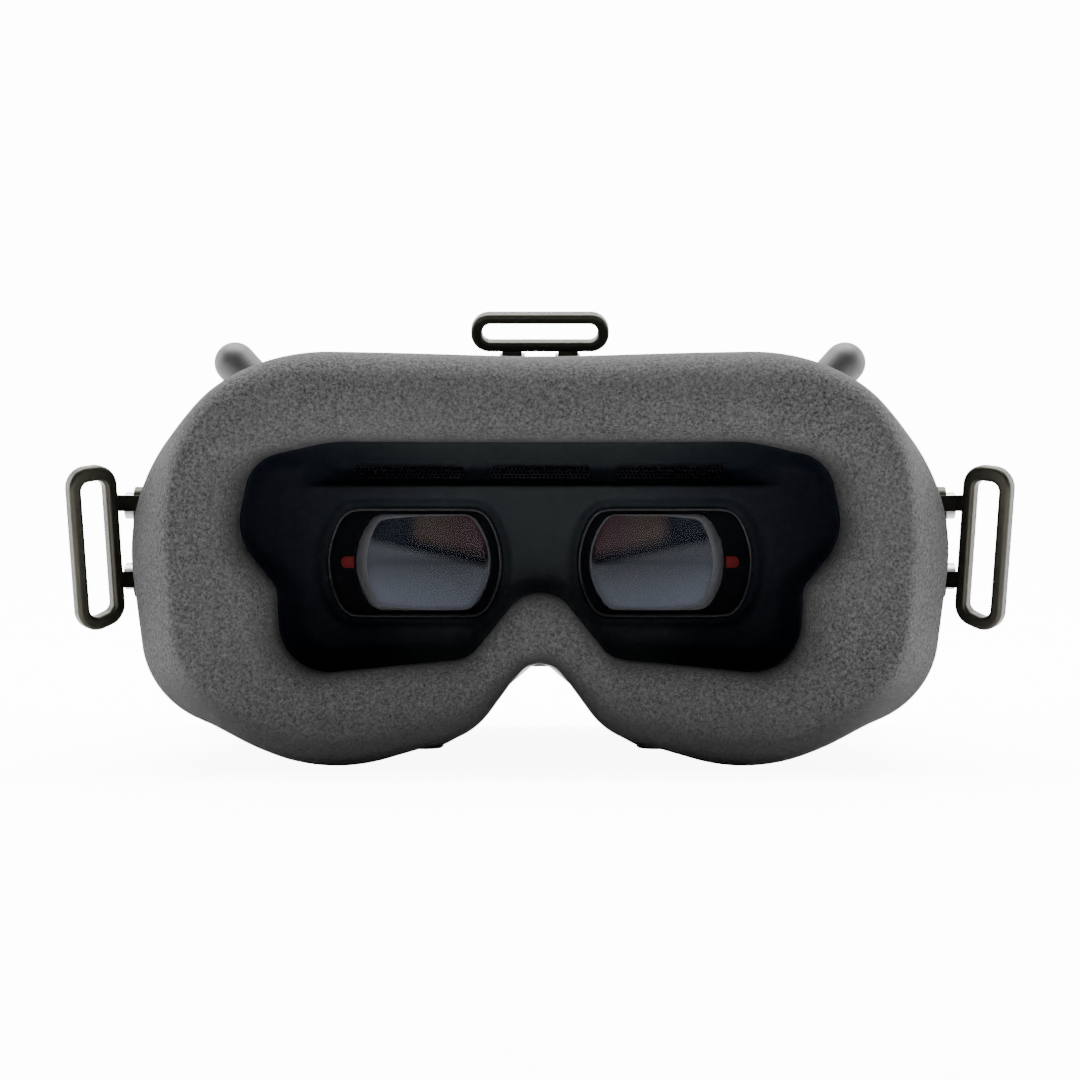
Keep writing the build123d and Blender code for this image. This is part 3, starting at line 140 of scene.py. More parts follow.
def lens_outline(radius: float, half_height: float, corner: float, steps: int = 40) -> np.ndarray:
    """Circle cut flat above and below, with rounded corners, about its own centre.

    Args:
        radius: Radius of the circle.
        half_height: Height of the flats above and below the centre.
        corner: Softness of the corners.
        steps: Points on each side arc.

    Returns:
        Points as an (n, 2) array, clockwise from the top right.
    """
    points = []
    limit = math.asin(half_height / radius)
    for k in range(steps + 1):
        angle = limit * (1 - 2 * k / steps)
        points.append((radius * math.cos(angle), radius * math.sin(angle)))
    points += [(-x, -z) for x, z in points]
    dense = resample(np.array(points), 8 * steps)
    for _ in range(int(corner * 14)):
        dense = dense * 0.5 + (np.roll(dense, 1, axis=0) + np.roll(dense, -1, axis=0)) * 0.25
    return dense


def resample(points: np.ndarray, count: int) -> np.ndarray:
    """Spread a closed line's points evenly.

    Args:
        points: Closed line as an (n, 2) array.
        count: Points wanted.

    Returns:
        Evenly spaced points as a (count, 2) array.
    """
    closed = np.vstack([points, points[:1]])
    run = np.concatenate([[0.0], np.cumsum(np.linalg.norm(np.diff(closed, axis=0), axis=1))])
    wanted = np.linspace(0, run[-1], count, endpoint=False)
    return np.stack([np.interp(wanted, run, closed[:, k]) for k in (0, 1)], axis=1)


def distance_inside(x: np.ndarray, z: np.ndarray, line: np.ndarray) -> tuple[np.ndarray, np.ndarray]:
    """Signed distance to a closed line, positive inside it, and the nearest point on it.

    Args:
        x: Flat array of x values.
        z: Flat array of z values.
        line: Closed line as an (n, 2) array.

    Returns:
        The distances, and the nearest points as an (n, 2) array.
    """
    best = np.full(x.shape, 1e9)
    near = np.zeros((x.size, 2))
    inside = np.zeros(x.shape, bool)
    for a, b in zip(line, np.roll(line, -1, axis=0)):
        run = b - a
        share = np.clip(((x - a[0]) * run[0] + (z - a[1]) * run[1]) / (run @ run + 1e-12), 0, 1)
        px, pz = a[0] + share * run[0], a[1] + share * run[1]
        gap = np.hypot(x - px, z - pz)
        closer = gap < best
        best[closer] = gap[closer]
        near[closer] = np.stack([px, pz], axis=1)[closer]
        crosses = (a[1] > z) != (b[1] > z)
        if abs(run[1]) > 1e-12:
            inside ^= crosses & (x < a[0] + (z - a[1]) * run[0] / run[1])
    return np.where(inside, best, -best), near


def smoothstep(low: float, high: float, value: Any) -> Any:
    """Ease from 0 at low to 1 at high."""
    share = np.clip((value - low) / (high - low), 0, 1)
    return share * share * (3 - 2 * share)


# ------------------------------------------------------------------ meshes
def add_mesh(name: str, points: np.ndarray, faces: Sequence[Sequence[int]],
             smooth: bool = True) -> bpy.types.Object:
    """Make a mesh object.

    Args:
        name: Object name.
        points: Vertices in millimetres, (n, 3).
        faces: Vertex indices of each face.
        smooth: Whether faces are shaded smooth.

    Returns:
        The new object, linked to the scene.
    """
    mesh = bpy.data.meshes.new(name)
    mesh.from_pydata((np.asarray(points, float) * MM).tolist(), [], [list(f) for f in faces])
    mesh.validate()
    mesh.update()
    if smooth:
        mesh.shade_smooth()
    else:
        mesh.shade_flat()
    piece = bpy.data.objects.new(name, mesh)
    bpy.context.scene.collection.objects.link(piece)
    return piece


def lattice_faces(rows: int, columns: int, wrap_rows: bool,
                  wrap_columns: bool) -> list[tuple[int, int, int, int]]:
    """Quads of a grid of vertices stored row by row.

    Args:
        rows: Number of rows.
        columns: Number of columns.
        wrap_rows: Whether the last row joins the first.
        wrap_columns: Whether the last column joins the first.

    Returns:
        Vertex indices of each quad.
    """
    faces = []
    for i in range(rows if wrap_rows else rows - 1):
        for j in range(columns if wrap_columns else columns - 1):
            ni, nj = (i + 1) % rows, (j + 1) % columns
            faces.append((i * columns + j, i * columns + nj, ni * columns + nj, ni * columns + j))
    return faces


def add_rings(name: str, rings: Sequence[np.ndarray], cap_first: bool = False, cap_last: bool = False,
              close: bool = False) -> bpy.types.Object:
    """Skin a stack of closed rings that have the same number of points.

    Args:
        name: Object name.
        rings: Each ring as an (n, 3) array in millimetres.
        cap_first: Whether the first ring is filled.
        cap_last: Whether the last ring is filled.
        close: Whether the last ring joins the first, as round a tyre.

    Returns:
        The new object.
    """
    count = len(rings[0])
    points = np.vstack(rings)
    faces: list[Sequence[int]] = list(lattice_faces(len(rings), count, close, True))
    if cap_first:
        faces.append(list(range(count))[::-1])
    if cap_last:
        faces.append([(len(rings) - 1) * count + k for k in range(count)])
    piece = add_mesh(name, points, faces)
    recalculate_normals(piece)
    return piece


def recalculate_normals(piece: bpy.types.Object) -> None:
    """Point every face outwards.

    Args:
        piece: The piece.
    """
    work = bmesh.new()
    work.from_mesh(piece.data)
    bmesh.ops.recalc_face_normals(work, faces=work.faces)
    work.to_mesh(piece.data)
    work.free()


def placed(line: np.ndarray, y: float, centre: tuple[float, float] = (0.0, 0.0)) -> np.ndarray:
    """Stand a flat line up across the goggles.

    Args:
        line: Points (x, z) as an (n, 2) array.
        y: Depth.
        centre: Where the line's own origin goes, in x and z.

    Returns:
        Points as an (n, 3) array.
    """
    return np.stack([line[:, 0] + centre[0], np.full(len(line), y), line[:, 1] + centre[1]], axis=1)


def grown(line: np.ndarray, amount: float) -> np.ndarray:
    """Move a closed line's points outwards along its normals.

    Args:
        line: Closed line as an (n, 2) array.
        amount: How far outwards; negative moves inwards.

    Returns:
        The moved points.
    """
    along = np.roll(line, -1, axis=0) - np.roll(line, 1, axis=0)
    along /= np.linalg.norm(along, axis=1)[:, None]
    area = np.sum(line[:, 0] * np.roll(line[:, 1], -1) - np.roll(line[:, 0], -1) * line[:, 1])
    outwards = np.stack([along[:, 1], -along[:, 0]], axis=1) * (1 if area > 0 else -1)
    return line + outwards * amount


# ------------------------------------------------------------------ shader groups
class Graph:
    """Short way to add and link the nodes of one shader tree."""

    def __init__(self, tree: bpy.types.NodeTree) -> None:
        """Work on this tree."""
        self.tree = tree

    def add(self, kind: str, settings: dict[str, Any] | None = None, values: Sequence[Any] = (),
            **sockets: Any) -> bpy.types.Node:
        """Add a node and fill its inputs.

        Args:
            kind: Node type without the ShaderNode prefix.
            settings: Node properties.
            values: Inputs by order; None leaves one as it is.
            **sockets: Inputs by name, with underscores for spaces.

        Returns:
            The node.
        """
        node = self.tree.nodes.new("ShaderNode" + kind)
        for key, value in (settings or {}).items():
            setattr(node, key, value)
        for index, value in enumerate(values):
            if value is not None:
                self.feed(node.inputs[index], value)
        for key, value in sockets.items():
            self.feed(node.inputs[key.replace("_", " ")], value)
        return node

    def feed(self, socket: bpy.types.NodeSocket, value: Any) -> None:
        """Link or set one input."""
        if isinstance(value, bpy.types.NodeSocket):
            self.tree.links.new(value, socket)
        elif isinstance(value, tuple) and len(value) == 3 and socket.type == "RGBA":
            socket.default_value = (*value, 1.0)
        else:
            socket.default_value = value

    def math(self, operation: str, first: Any, second: Any = 0.5,
             clamp: bool = False) -> bpy.types.NodeSocket:
        """Combine two values."""
        node = self.add("Math", {"operation": operation, "use_clamp": clamp}, [first, second])
        return node.outputs[0]

    def ramp(self, value: Any, low: float, high: float, start: float = 0.0,
             end: float = 1.0) -> bpy.types.NodeSocket:
        """Map a value's range, clamped."""
        node = self.add("MapRange", {"clamp": True}, [value, low, high, start, end])
        return node.outputs[0]

    def mix(self, share: Any, first: Any, second: Any) -> bpy.types.NodeSocket:
        """Mix two colours.

        Args:
            share: Share of the second.
            first: First colour.
            second: Second colour.

        Returns:
            The mixed colour.
        """
        node = self.add("Mix", {"data_type": "RGBA"})
        self.feed(node.inputs[0], share)
        self.feed(node.inputs[6], first)
        self.feed(node.inputs[7], second)
        return node.outputs[2]


class ShaderKit:
    """The shader node groups that several finishes share, each built once."""

    def __init__(self) -> None:
        """Build every group."""
        self.grain = self._grain()
        self.speckle = self._speckle()
        self.wear = self._wear()
        self.dust = self._dust()
        self.brushing = self._brushing()
        self.painted_hollow_shade = self._painted_hollow_shade_group()

    @staticmethod
    def _group(name: str, inputs: dict[str, float], outputs: Sequence[str]) -> tuple[Any, Graph, Any, Any]:
        """Start a group with float inputs and float outputs.

        Args:
            name: Group name.
            inputs: Input names and default values.
            outputs: Output names.

        Returns:
            The group, its graph, its input node and its output node.
        """
        tree = bpy.data.node_groups.new(name, "ShaderNodeTree")
        for key, value in inputs.items():
            socket = tree.interface.new_socket(key, in_out="INPUT", socket_type="NodeSocketFloat")
            socket.default_value = value
        for key in outputs:
            tree.interface.new_socket(key, in_out="OUTPUT", socket_type="NodeSocketFloat")
        return tree, Graph(tree), tree.nodes.new("NodeGroupInput"), tree.nodes.new("NodeGroupOutput")

    def _grain(self) -> bpy.types.NodeTree:
        """Fine moulded texture: a height, and a broad patchiness.

        Returns:
            The group.
        """
        tree, graph, given, out = self._group("moulded_grain", {"Scale": 1500.0}, ["Height", "Patches"])
        place = graph.add("TexCoord").outputs["Object"]
        fine = graph.add("TexVoronoi", {"feature": "SMOOTH_F1"}, Vector=place, Scale=given.outputs["Scale"])
        coarse = graph.add("TexNoise", Vector=place, Scale=60.0, Detail=3.0)
        graph.feed(out.inputs["Height"], fine.outputs["Distance"])
        graph.feed(out.inputs["Patches"], graph.ramp(coarse.outputs[0], 0.3, 0.7))
        return tree

    def _speckle(self) -> bpy.types.NodeTree:
        """Cell pattern of open foam: cell walls, pits and a slow mottling.

        Returns:
            The group.
        """
        tree, graph, given, out = self._group("foam_cells", {"Scale": 1500.0}, ["Cells", "Pits", "Mottle"])
        place = graph.add("TexCoord").outputs["Object"]
        warp = graph.add("TexNoise", Vector=place, Scale=1500.0, Detail=2.0)
        shift = graph.add("VectorMath", {"operation": "MULTIPLY_ADD"},
                          [warp.outputs[1], (0.0004, 0.0004, 0.0004), place])
        cells = graph.add("TexVoronoi", Vector=shift.outputs[0], Scale=given.outputs["Scale"])
        half = graph.math("MULTIPLY", given.outputs["Scale"], 0.62)
        pits = graph.add("TexNoise", Vector=shift.outputs[0], Scale=half, Detail=2.0, Roughness=0.6)
        mottle = graph.add("TexNoise", Vector=place, Scale=45.0, Detail=2.0)
        graph.feed(out.inputs["Cells"], graph.ramp(cells.outputs["Distance"], 0.1, 0.75))
        graph.feed(out.inputs["Pits"], graph.ramp(pits.outputs[0], 0.32, 0.68))
        graph.feed(out.inputs["Mottle"], graph.ramp(mottle.outputs[0], 0.3, 0.7))
        return tree

    def _wear(self) -> bpy.types.NodeTree:
        """Rubbed edges: a mask that is strong on outward corners.

        Returns:
            The group.
        """
        tree, graph, given, out = self._group("edge_wear", {"Radius": 0.0006}, ["Mask"])
        bent = graph.add("Bevel", {"samples": 4}, Radius=given.outputs["Radius"])
        plain = graph.add("NewGeometry")
        match = graph.add("VectorMath", {"operation": "DOT_PRODUCT"},
                          [bent.outputs[0], plain.outputs["Normal"]])
        breakup = graph.add("TexNoise", Scale=400.0, Detail=4.0)
        edge = graph.ramp(match.outputs["Value"], 0.98, 0.75)
        patches = graph.ramp(breakup.outputs[0], 0.35, 0.6)
        graph.feed(out.inputs["Mask"], graph.math("MULTIPLY", edge, patches))
        return tree

    def _dust(self) -> bpy.types.NodeTree:
        """Thin dust: soft clouds with fine specks, stronger on upward faces.

        Returns:
            The group.
        """
        tree, graph, given, out = self._group("dust", {"Amount": 0.1}, ["Mask"])
        place = graph.add("TexCoord").outputs["Object"]
        clouds = graph.add("TexNoise", Vector=place, Scale=35.0, Detail=5.0)
        specks = graph.add("TexNoise", Vector=place, Scale=2600.0, Detail=1.0)
        upright = graph.add("SeparateXYZ", None, [graph.add("NewGeometry").outputs["Normal"]]).outputs[2]
        settled = graph.ramp(upright, -0.3, 1.0, 0.35)
        soft = graph.math("MULTIPLY", graph.ramp(clouds.outputs[0], 0.4, 0.75), settled)
        fine = graph.math("MULTIPLY", graph.ramp(specks.outputs[0], 0.66, 0.74), 0.6)
        both = graph.math("ADD", soft, fine, clamp=True)
        graph.feed(out.inputs["Mask"], graph.math("MULTIPLY", both, given.outputs["Amount"]))
        return tree

    def _brushing(self) -> bpy.types.NodeTree:
        """Long fine scratches of drawn or ground metal.

        Returns:
            The group.
        """
        tree, graph, given, out = self._group("brushing", {"Stretch": 12.0}, ["Height"])
        place = graph.add("TexCoord").outputs["Object"]
        shrink = graph.math("DIVIDE", 1.0, given.outputs["Stretch"])
        squeeze = graph.add("CombineXYZ", None, [1.0, 1.0, shrink])
        lined = graph.add("VectorMath", {"operation": "MULTIPLY"}, [place, squeeze.outputs[0]])
        lines = graph.add("TexNoise", Vector=lined.outputs[0], Scale=2200.0, Detail=3.0)
        graph.feed(out.inputs["Height"], lines.outputs[0])
        return tree

    def _painted_hollow_shade_group(self) -> bpy.types.NodeTree:
        """Painted shade in hollows: an ambient-occlusion mask that is strong in grooves and corners.

        Returns:
            The group.
        """
        tree, graph, given, out = self._group("hollow_shade", {"Distance": 0.006}, ["Mask"])
        # Painted shade: the occlusion mask darkens the colour of grooves and corners.
        shade = graph.add("AmbientOcclusion", {"samples": 8}, Distance=given.outputs["Distance"])
        graph.feed(out.inputs["Mask"], graph.ramp(shade.outputs["AO"], 0.94, 0.5))
        return tree


def use_group(graph: Graph, group: bpy.types.NodeTree, **inputs: Any) -> bpy.types.Node:
    """Place a shared group in a material.

    Args:
        graph: The material's graph.
        group: The group.
        **inputs: Its inputs by name.

    Returns:
        The group node.
    """
    node = graph.tree.nodes.new("ShaderNodeGroup")
    node.node_tree = group
    for key, value in inputs.items():
        graph.feed(node.inputs[key], value)
    return node


def start_material(name: str) -> tuple[bpy.types.Material, Graph, bpy.types.Node]:
    """Start a node material.

    Args:
        name: Material name.

    Returns:
        The material, its graph and its Principled node.
    """
    material = bpy.data.materials.new(name)
    material.use_nodes = True
    return material, Graph(material.node_tree), material.node_tree.nodes["Principled BSDF"]


def patchy_sheen(graph: Graph, shader: bpy.types.Node, grain: bpy.types.Node, first: float,
                 last: float) -> None:
    """Let the grain's patches vary the roughness.

    Args:
        graph: The material's graph.
        shader: Its Principled node.
        grain: The grain group in it.
        first: Roughness where there is no patch.
        last: Roughness where the patch is full.
    """
    graph.feed(shader.inputs["Roughness"], graph.ramp(grain.outputs["Patches"], 0.0, 1.0, first, last))


def relief(graph: Graph, shader: bpy.types.Node, height: Any, depth: float, strength: float,
           radius: float | None = None) -> None:
    """Raise the surface by a height, with softened edges where a radius is given.

    Args:
        graph: The material's graph.
        shader: Its Principled node.
        height: The height to raise by.
        depth: Depth of the relief in metres.
        strength: Strength of the relief.
        radius: Radius of the edges in metres.
    """
    bump = graph.add("Bump", None, Strength=strength, Distance=depth, Height=height)
    if radius is not None:
        graph.feed(bump.inputs["Normal"], graph.add("Bevel", {"samples": 4}, Radius=radius).outputs[0])
    graph.feed(shader.inputs["Normal"], bump.outputs[0])


# ------------------------------------------------------------------ finishes
@dataclass(frozen=True)
class MouldedPlastic:
    """Moulded plastic or rubber with a fine grain, patchy sheen, rubbed edges and a little dust."""

    name: str
    colour: Colour
    roughness: float = 0.5
    grain_scale: float = 1800.0
    grain_depth: float = 0.00004
    wear: float = 0.25
    dust: float = 0.06
    softness: float = 0.0003
    specular: float = 0.5

    def build(self, kit: ShaderKit) -> bpy.types.Material:
        """Make the material from the shared groups.

        Args:
            kit: The shared groups.

        Returns:
            The material.
        """
        material, graph, shader = start_material(self.name)
        grain = use_group(graph, kit.grain, Scale=self.grain_scale)
        wear = use_group(graph, kit.wear, Radius=0.0005)
        dust = use_group(graph, kit.dust, Amount=self.dust)
        lighter = tuple(min(1.0, c * 1.6 + 0.02) for c in self.colour)
        darker = tuple(c * 0.86 for c in self.colour)
        body = graph.mix(grain.outputs["Patches"], darker, self.colour)
        worn = graph.mix(graph.math("MULTIPLY", wear.outputs[0], self.wear), body, lighter)
        dusty = graph.mix(dust.outputs[0], worn, (0.45, 0.43, 0.40))
        graph.feed(shader.inputs["Base Color"], dusty)
        patchy_sheen(graph, shader, grain, self.roughness + 0.05, self.roughness - 0.05)
        relief(graph, shader, grain.outputs["Height"], self.grain_depth, 1.0, self.softness)
        shader.inputs["Specular IOR Level"].default_value = self.specular
        return material


@dataclass(frozen=True)
class FacePlastic:
    """Near-black grained moulding with painted shade: darker towards its sides, its lower corners and in its
    hollows.
    """

    name: str
    centre: Colour
    # The edge colour is painted shade for the sides and lower corners.
    edge: Colour
    roughness: float = 0.62
    grain_scale: float = 1500.0
    specular: float = 0.04

    def build(self, kit: ShaderKit) -> bpy.types.Material:
        """Make the material from the shared groups.

        Args:
            kit: The shared groups.

        Returns:
            The material.
        """
        material, graph, shader = start_material(self.name)
        grain = use_group(graph, kit.grain, Scale=self.grain_scale)
        painted_hollow_shade = use_group(graph, kit.painted_hollow_shade, Distance=0.0045)
        place = graph.add("SeparateXYZ", None, [graph.add("TexCoord").outputs["Object"]])
        # Painted shade: the colour darkens towards the sides and the lower corners.
        aside = graph.ramp(graph.math("ABSOLUTE", place.outputs[0]), 0.022, 0.064)
        low = graph.ramp(place.outputs[2], 0.044, 0.026, 0.0, 0.75)
        corner = graph.math("MULTIPLY", low, graph.ramp(aside, 0.0, 0.45))
        outward = graph.math("ADD", aside, corner, clamp=True)
        painted_side_shade = graph.mix(outward, self.centre, self.edge)
        # Painted shade in hollows: the occlusion mask mixes in a near-black blue.
        graph.feed(shader.inputs["Base Color"], graph.mix(painted_hollow_shade.outputs[0], painted_side_shade, (0.0014, 0.0026, 0.0056)))
        patchy_sheen(graph, shader, grain, self.roughness + 0.04, self.roughness - 0.04)
        relief(graph, shader, grain.outputs["Height"], 0.00005, 1.0, 0.0006)
        shader.inputs["Specular IOR Level"].default_value = self.specular
        return material


@dataclass(frozen=True)
class OpenFoam:
    """Skinned open-cell foam: a speckled grey of pale cell walls and dark pits, with painted shade in its
    hollows.
    """

    name: str
    pale: Colour
    dark: Colour
    cell_scale: float = 2100.0

    def build(self, kit: ShaderKit) -> bpy.types.Material:
        """Make the material from the shared groups.

        Args:
            kit: The shared groups.

        Returns:
            The material.
        """
        material, graph, shader = start_material(self.name)
        cells = use_group(graph, kit.speckle, Scale=self.cell_scale)
        depth = graph.math("MULTIPLY", cells.outputs["Cells"], 0.45)
        height = graph.math("ADD", depth, graph.math("MULTIPLY", cells.outputs["Pits"], 0.55))
        tone = graph.mix(height, self.dark, self.pale)
        deep = tuple(c * 0.88 for c in self.pale)
        faded = graph.mix(graph.math("MULTIPLY", cells.outputs["Mottle"], 0.22), tone, deep)
        # Painted shade: the foam darkens to a deep grey where the occlusion mask finds hollows.
        painted_hollow_shade = use_group(graph, kit.painted_hollow_shade, Distance=0.03)
        foam_painted_shade_colour = tuple(c * 0.28 for c in self.pale)
        foam_painted_shade_share = graph.math("MULTIPLY", painted_hollow_shade.outputs[0], 0.8)
        graph.feed(shader.inputs["Base Color"], graph.mix(foam_painted_shade_share, faded, foam_painted_shade_colour))
        shader.inputs["Roughness"].default_value = 0.95
        shader.inputs["Specular IOR Level"].default_value = 0.2
        relief(graph, shader, height, 0.00028, 0.8)
        return material


@dataclass(frozen=True)
class Metal:
    """Bare, plated or painted metal, with brushing and brighter rubbed edges."""

    name: str
    colour: Colour
    edge: Colour
    roughness: float = 0.35
    metallic: float = 1.0
    stretch: float = 12.0
    brush_depth: float = 0.00002
    wear: float = 0.5

    def build(self, kit: ShaderKit) -> bpy.types.Material:
        """Make the material from the shared groups.

        Args:
            kit: The shared groups.

        Returns:
            The material.
        """
        material, graph, shader = start_material(self.name)
        lines = use_group(graph, kit.brushing, Stretch=self.stretch)
        wear = use_group(graph, kit.wear, Radius=0.0005)
        grain = use_group(graph, kit.grain, Scale=900.0)
        dim = tuple(c * 0.85 for c in self.colour)
        body = graph.mix(grain.outputs["Patches"], dim, self.colour)
        worn = graph.mix(graph.math("MULTIPLY", wear.outputs[0], self.wear), body, self.edge)
        graph.feed(shader.inputs["Base Color"], worn)
        rough = graph.ramp(lines.outputs[0], 0.3, 0.7, self.roughness - 0.05, self.roughness + 0.08)
        graph.feed(shader.inputs["Roughness"], rough)
        shader.inputs["Metallic"].default_value = self.metallic
        relief(graph, shader, lines.outputs[0], self.brush_depth, 0.6, 0.0003)
        return material


@dataclass(frozen=True)
class CoatedGlass:
    """Optical glass or plastic with a faint coloured coating."""

    name: str
    tint: Colour
    coating: Colour = (0.6, 0.45, 0.5)
    roughness: float = 0.0
    ior: float = 1.5
    mirror: Colour = (1.0, 1.0, 1.0)

    def build(self, kit: ShaderKit) -> bpy.types.Material:
        """Make the material.

        Args:
            kit: The shared groups.

        Returns:
            The material.
        """
        material, graph, shader = start_material(self.name)
        facing = graph.add("LayerWeight", None, Blend=0.35)
        grain = use_group(graph, kit.grain, Scale=300.0)
        shade = graph.mix(facing.outputs["Facing"], self.tint, self.coating)
        graph.feed(shader.inputs["Base Color"], shade)
        patchy_sheen(graph, shader, grain, self.roughness, self.roughness + 0.004)
        shader.inputs["Transmission Weight"].default_value = 1.0
        shader.inputs["IOR"].default_value = self.ior
        shader.inputs["Specular Tint"].default_value = (*self.mirror, 1.0)
        return material


@dataclass(frozen=True)
class PaintedGlowDisplay:
    """Display behind a lens with painted glow: its emission paints the lens's reflections, pale and smooth
    below, dark above, warm at its inner upper corner.
    """

    name: str
    low: Colour
    middle: Colour
    outer: Colour
    warm: Colour
    inner: Colour

    def build(self, kit: ShaderKit) -> bpy.types.Material:
        """Make the material, its painted glow shaded by place over the panel.

        Args:
            kit: The shared groups; not used.

        Returns:
            The material.
        """
        material, graph, shader = start_material(self.name)
        place = graph.add("SeparateXYZ", None, [graph.add("TexCoord").outputs["Object"]])
        aside = graph.math("ABSOLUTE", place.outputs[0])
        lean = graph.math("MULTIPLY", graph.math("SUBTRACT", aside, 0.029), 0.22)
        height = graph.math("SUBTRACT", place.outputs[2], lean)
        smoke = graph.mix(graph.ramp(height, 0.0395, 0.0480), self.low, self.middle)
        upper = graph.mix(graph.ramp(aside, 0.0315, 0.0335), self.warm, self.outer)
        upper = graph.mix(graph.ramp(aside, 0.0285, 0.0240), upper, self.inner)
        band = graph.mix(graph.ramp(height, 0.0492, 0.0515), self.outer, upper)
        painted_reflections = graph.mix(graph.ramp(height, 0.0478, 0.0492), smoke, band)
        shader.inputs["Base Color"].default_value = (0.0, 0.0, 0.0, 1.0)
        shader.inputs["Specular IOR Level"].default_value = 0.0
        # Painted light: the emission paints reflections onto the display, which is switched off.
        graph.feed(shader.inputs["Emission Color"], painted_reflections)
        shader.inputs["Emission Strength"].default_value = 1.0
        shader.inputs["Roughness"].default_value = 0.6
        return material


@dataclass(frozen=True)
class CircuitBoard:
    """Solder mask over copper tracks."""

    name: str
    mask: Colour
    track: Colour

    def build(self, kit: ShaderKit) -> bpy.types.Material:
        """Make the material.

        Args:
            kit: The shared groups.

        Returns:
            The material.
        """
        material, graph, shader = start_material(self.name)
        place = graph.add("TexCoord").outputs["Object"]
        tracks = graph.add("TexVoronoi", {"distance": "MANHATTAN"}, Vector=place, Scale=260.0)
        lines = graph.ramp(tracks.outputs["Distance"], 0.32, 0.36)
        graph.feed(shader.inputs["Base Color"], graph.mix(lines, self.mask, self.track))
        grain = use_group(graph, kit.grain, Scale=700.0)
        patchy_sheen(graph, shader, grain, 0.28, 0.4)
        relief(graph, shader, lines, 0.00003, 0.5)
        return material


class Finish(Enum):
    """Every finish on the goggles."""

    FOAM = OpenFoam("pad_foam_grey", pale=(0.068, 0.068, 0.068), dark=(0.0012, 0.0012, 0.0013))
    # Face plate: the second colour is painted shade for its sides and lower corners.
    FACE = FacePlastic("face_plate_black", (0.0110, 0.0132, 0.0146), (0.0016, 0.0024, 0.0046))
    LIP = MouldedPlastic("window_lip", (0.006, 0.0066, 0.008), 0.35, 2600.0, 0.00001, 0.0, 0.0, 0.0001, 0.3)
    SHELL = MouldedPlastic("shell_grey", (0.017, 0.0175, 0.0185), 0.46, 2000.0, 0.00003, 0.2, 0.05)
    COVER = MouldedPlastic("cover_black", (0.014, 0.0142, 0.015), 0.28, 2600.0, 0.00001, 0.2, 0.04)
    BLACK = MouldedPlastic("inner_black", (0.0006, 0.0009, 0.0020), 0.6, 1600.0, 0.00003, 0.0, 0.0,
                           specular=0.03)
    RUBBER = MouldedPlastic("soft_black", (0.018, 0.018, 0.019), 0.72, 1200.0, 0.00004, 0.1, 0.08)
    BUTTON = MouldedPlastic("button_grey", (0.055, 0.056, 0.06), 0.4, 2400.0, 0.00002, 0.4, 0.04)
    ANTENNA = MouldedPlastic("antenna_grey", (0.019, 0.0195, 0.0195), 0.5, 2600.0, 0.00002, 0.2, 0.05)
    MARK = MouldedPlastic("mark_red", (0.072, 0.0030, 0.0028), 0.5, 2400.0, 0.00001, 0.0, 0.0, 0.0003, 0.08)
    HOOKS = MouldedPlastic("hook_strip_black", (0.015, 0.015, 0.015), 0.9, 900.0, 0.0003, 0.0, 0.0)
    BRONZE = Metal("bracket_bronze", (0.026, 0.025, 0.019), (0.20, 0.19, 0.15), 0.34, 0.9, 3.0, 0.00002, 0.25)
    STEEL = Metal("screw_steel", (0.42, 0.42, 0.41), (0.8, 0.8, 0.8), 0.32)
    DARK_STEEL = Metal("mesh_black", (0.014, 0.016, 0.025), (0.05, 0.05, 0.06), 0.5, 0.8)
    NUT = Metal("nut_black", (0.05, 0.05, 0.05), (0.5, 0.46, 0.36), 0.35, 0.9)
    GOLD = Metal("jack_gold", (0.75, 0.53, 0.22), (0.95, 0.8, 0.5), 0.22)
    ALUMINIUM = Metal("sink_aluminium", (0.62, 0.63, 0.64), (0.9, 0.9, 0.9), 0.4)
    LENS = CoatedGlass("lens_glass", (0.92, 0.93, 0.95), mirror=(0.12, 0.12, 0.14))
    GROUND = MouldedPlastic("ground_glass", (0.085, 0.088, 0.095), 0.45, 3000.0, 0.00001, 0.0, 0.0)
    SCREEN = CoatedGlass("window_smoke", (0.12, 0.12, 0.13), (0.2, 0.2, 0.22), 0.05)
    # The display's colours are painted glow standing in for the reflections in the lenses.
    PAINTED_DISPLAY_GLOW = PaintedGlowDisplay("display_painted_glow", low=(0.075, 0.082, 0.105), middle=(0.036, 0.040, 0.044),
                           outer=(0.002, 0.003, 0.005), warm=(0.020, 0.014, 0.011),
                           inner=(0.019, 0.009, 0.010))
    BOARD = CircuitBoard("board_green", (0.010, 0.060, 0.030), (0.030, 0.110, 0.055))


class Wardrobe:
    """Builds each finish once and dresses pieces in them."""

    def __init__(self) -> None:
        """Build the shared groups and every finish."""
        kit = ShaderKit()
        self.materials = {finish: finish.value.build(kit) for finish in Finish}

    def dress(self, piece: bpy.types.Object, finish: Finish) -> None:
        """Give a piece one finish all over."""
        piece.data.materials.clear()
        piece.data.materials.append(self.materials[finish])

    def dress_nodes(self, names: Sequence[str], finish: Finish) -> None:
        """Give frame nodes one finish, slot by slot.

        Args:
            names: Node names.
            finish: The finish.
        """
        for name in names:
            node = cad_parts[name]
            if not node.material_slots:
                node.data.materials.append(self.materials[finish])
            for material_slot in node.material_slots:
                material_slot.material = self.materials[finish]


def put(piece: bpy.types.Object, finish: Finish, wardrobe: Wardrobe,
        body: str = HOUSING) -> bpy.types.Object:
    """Dress a new piece and set it riding.

    Args:
        piece: The piece.
        finish: Its finish.
        wardrobe: The finishes.
        body: The body that it moves with.

    Returns:
        The piece.
    """
    wardrobe.dress(piece, finish)
    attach(piece, body)
    log.info("%s rides on %s", piece.name, body)
    return piece


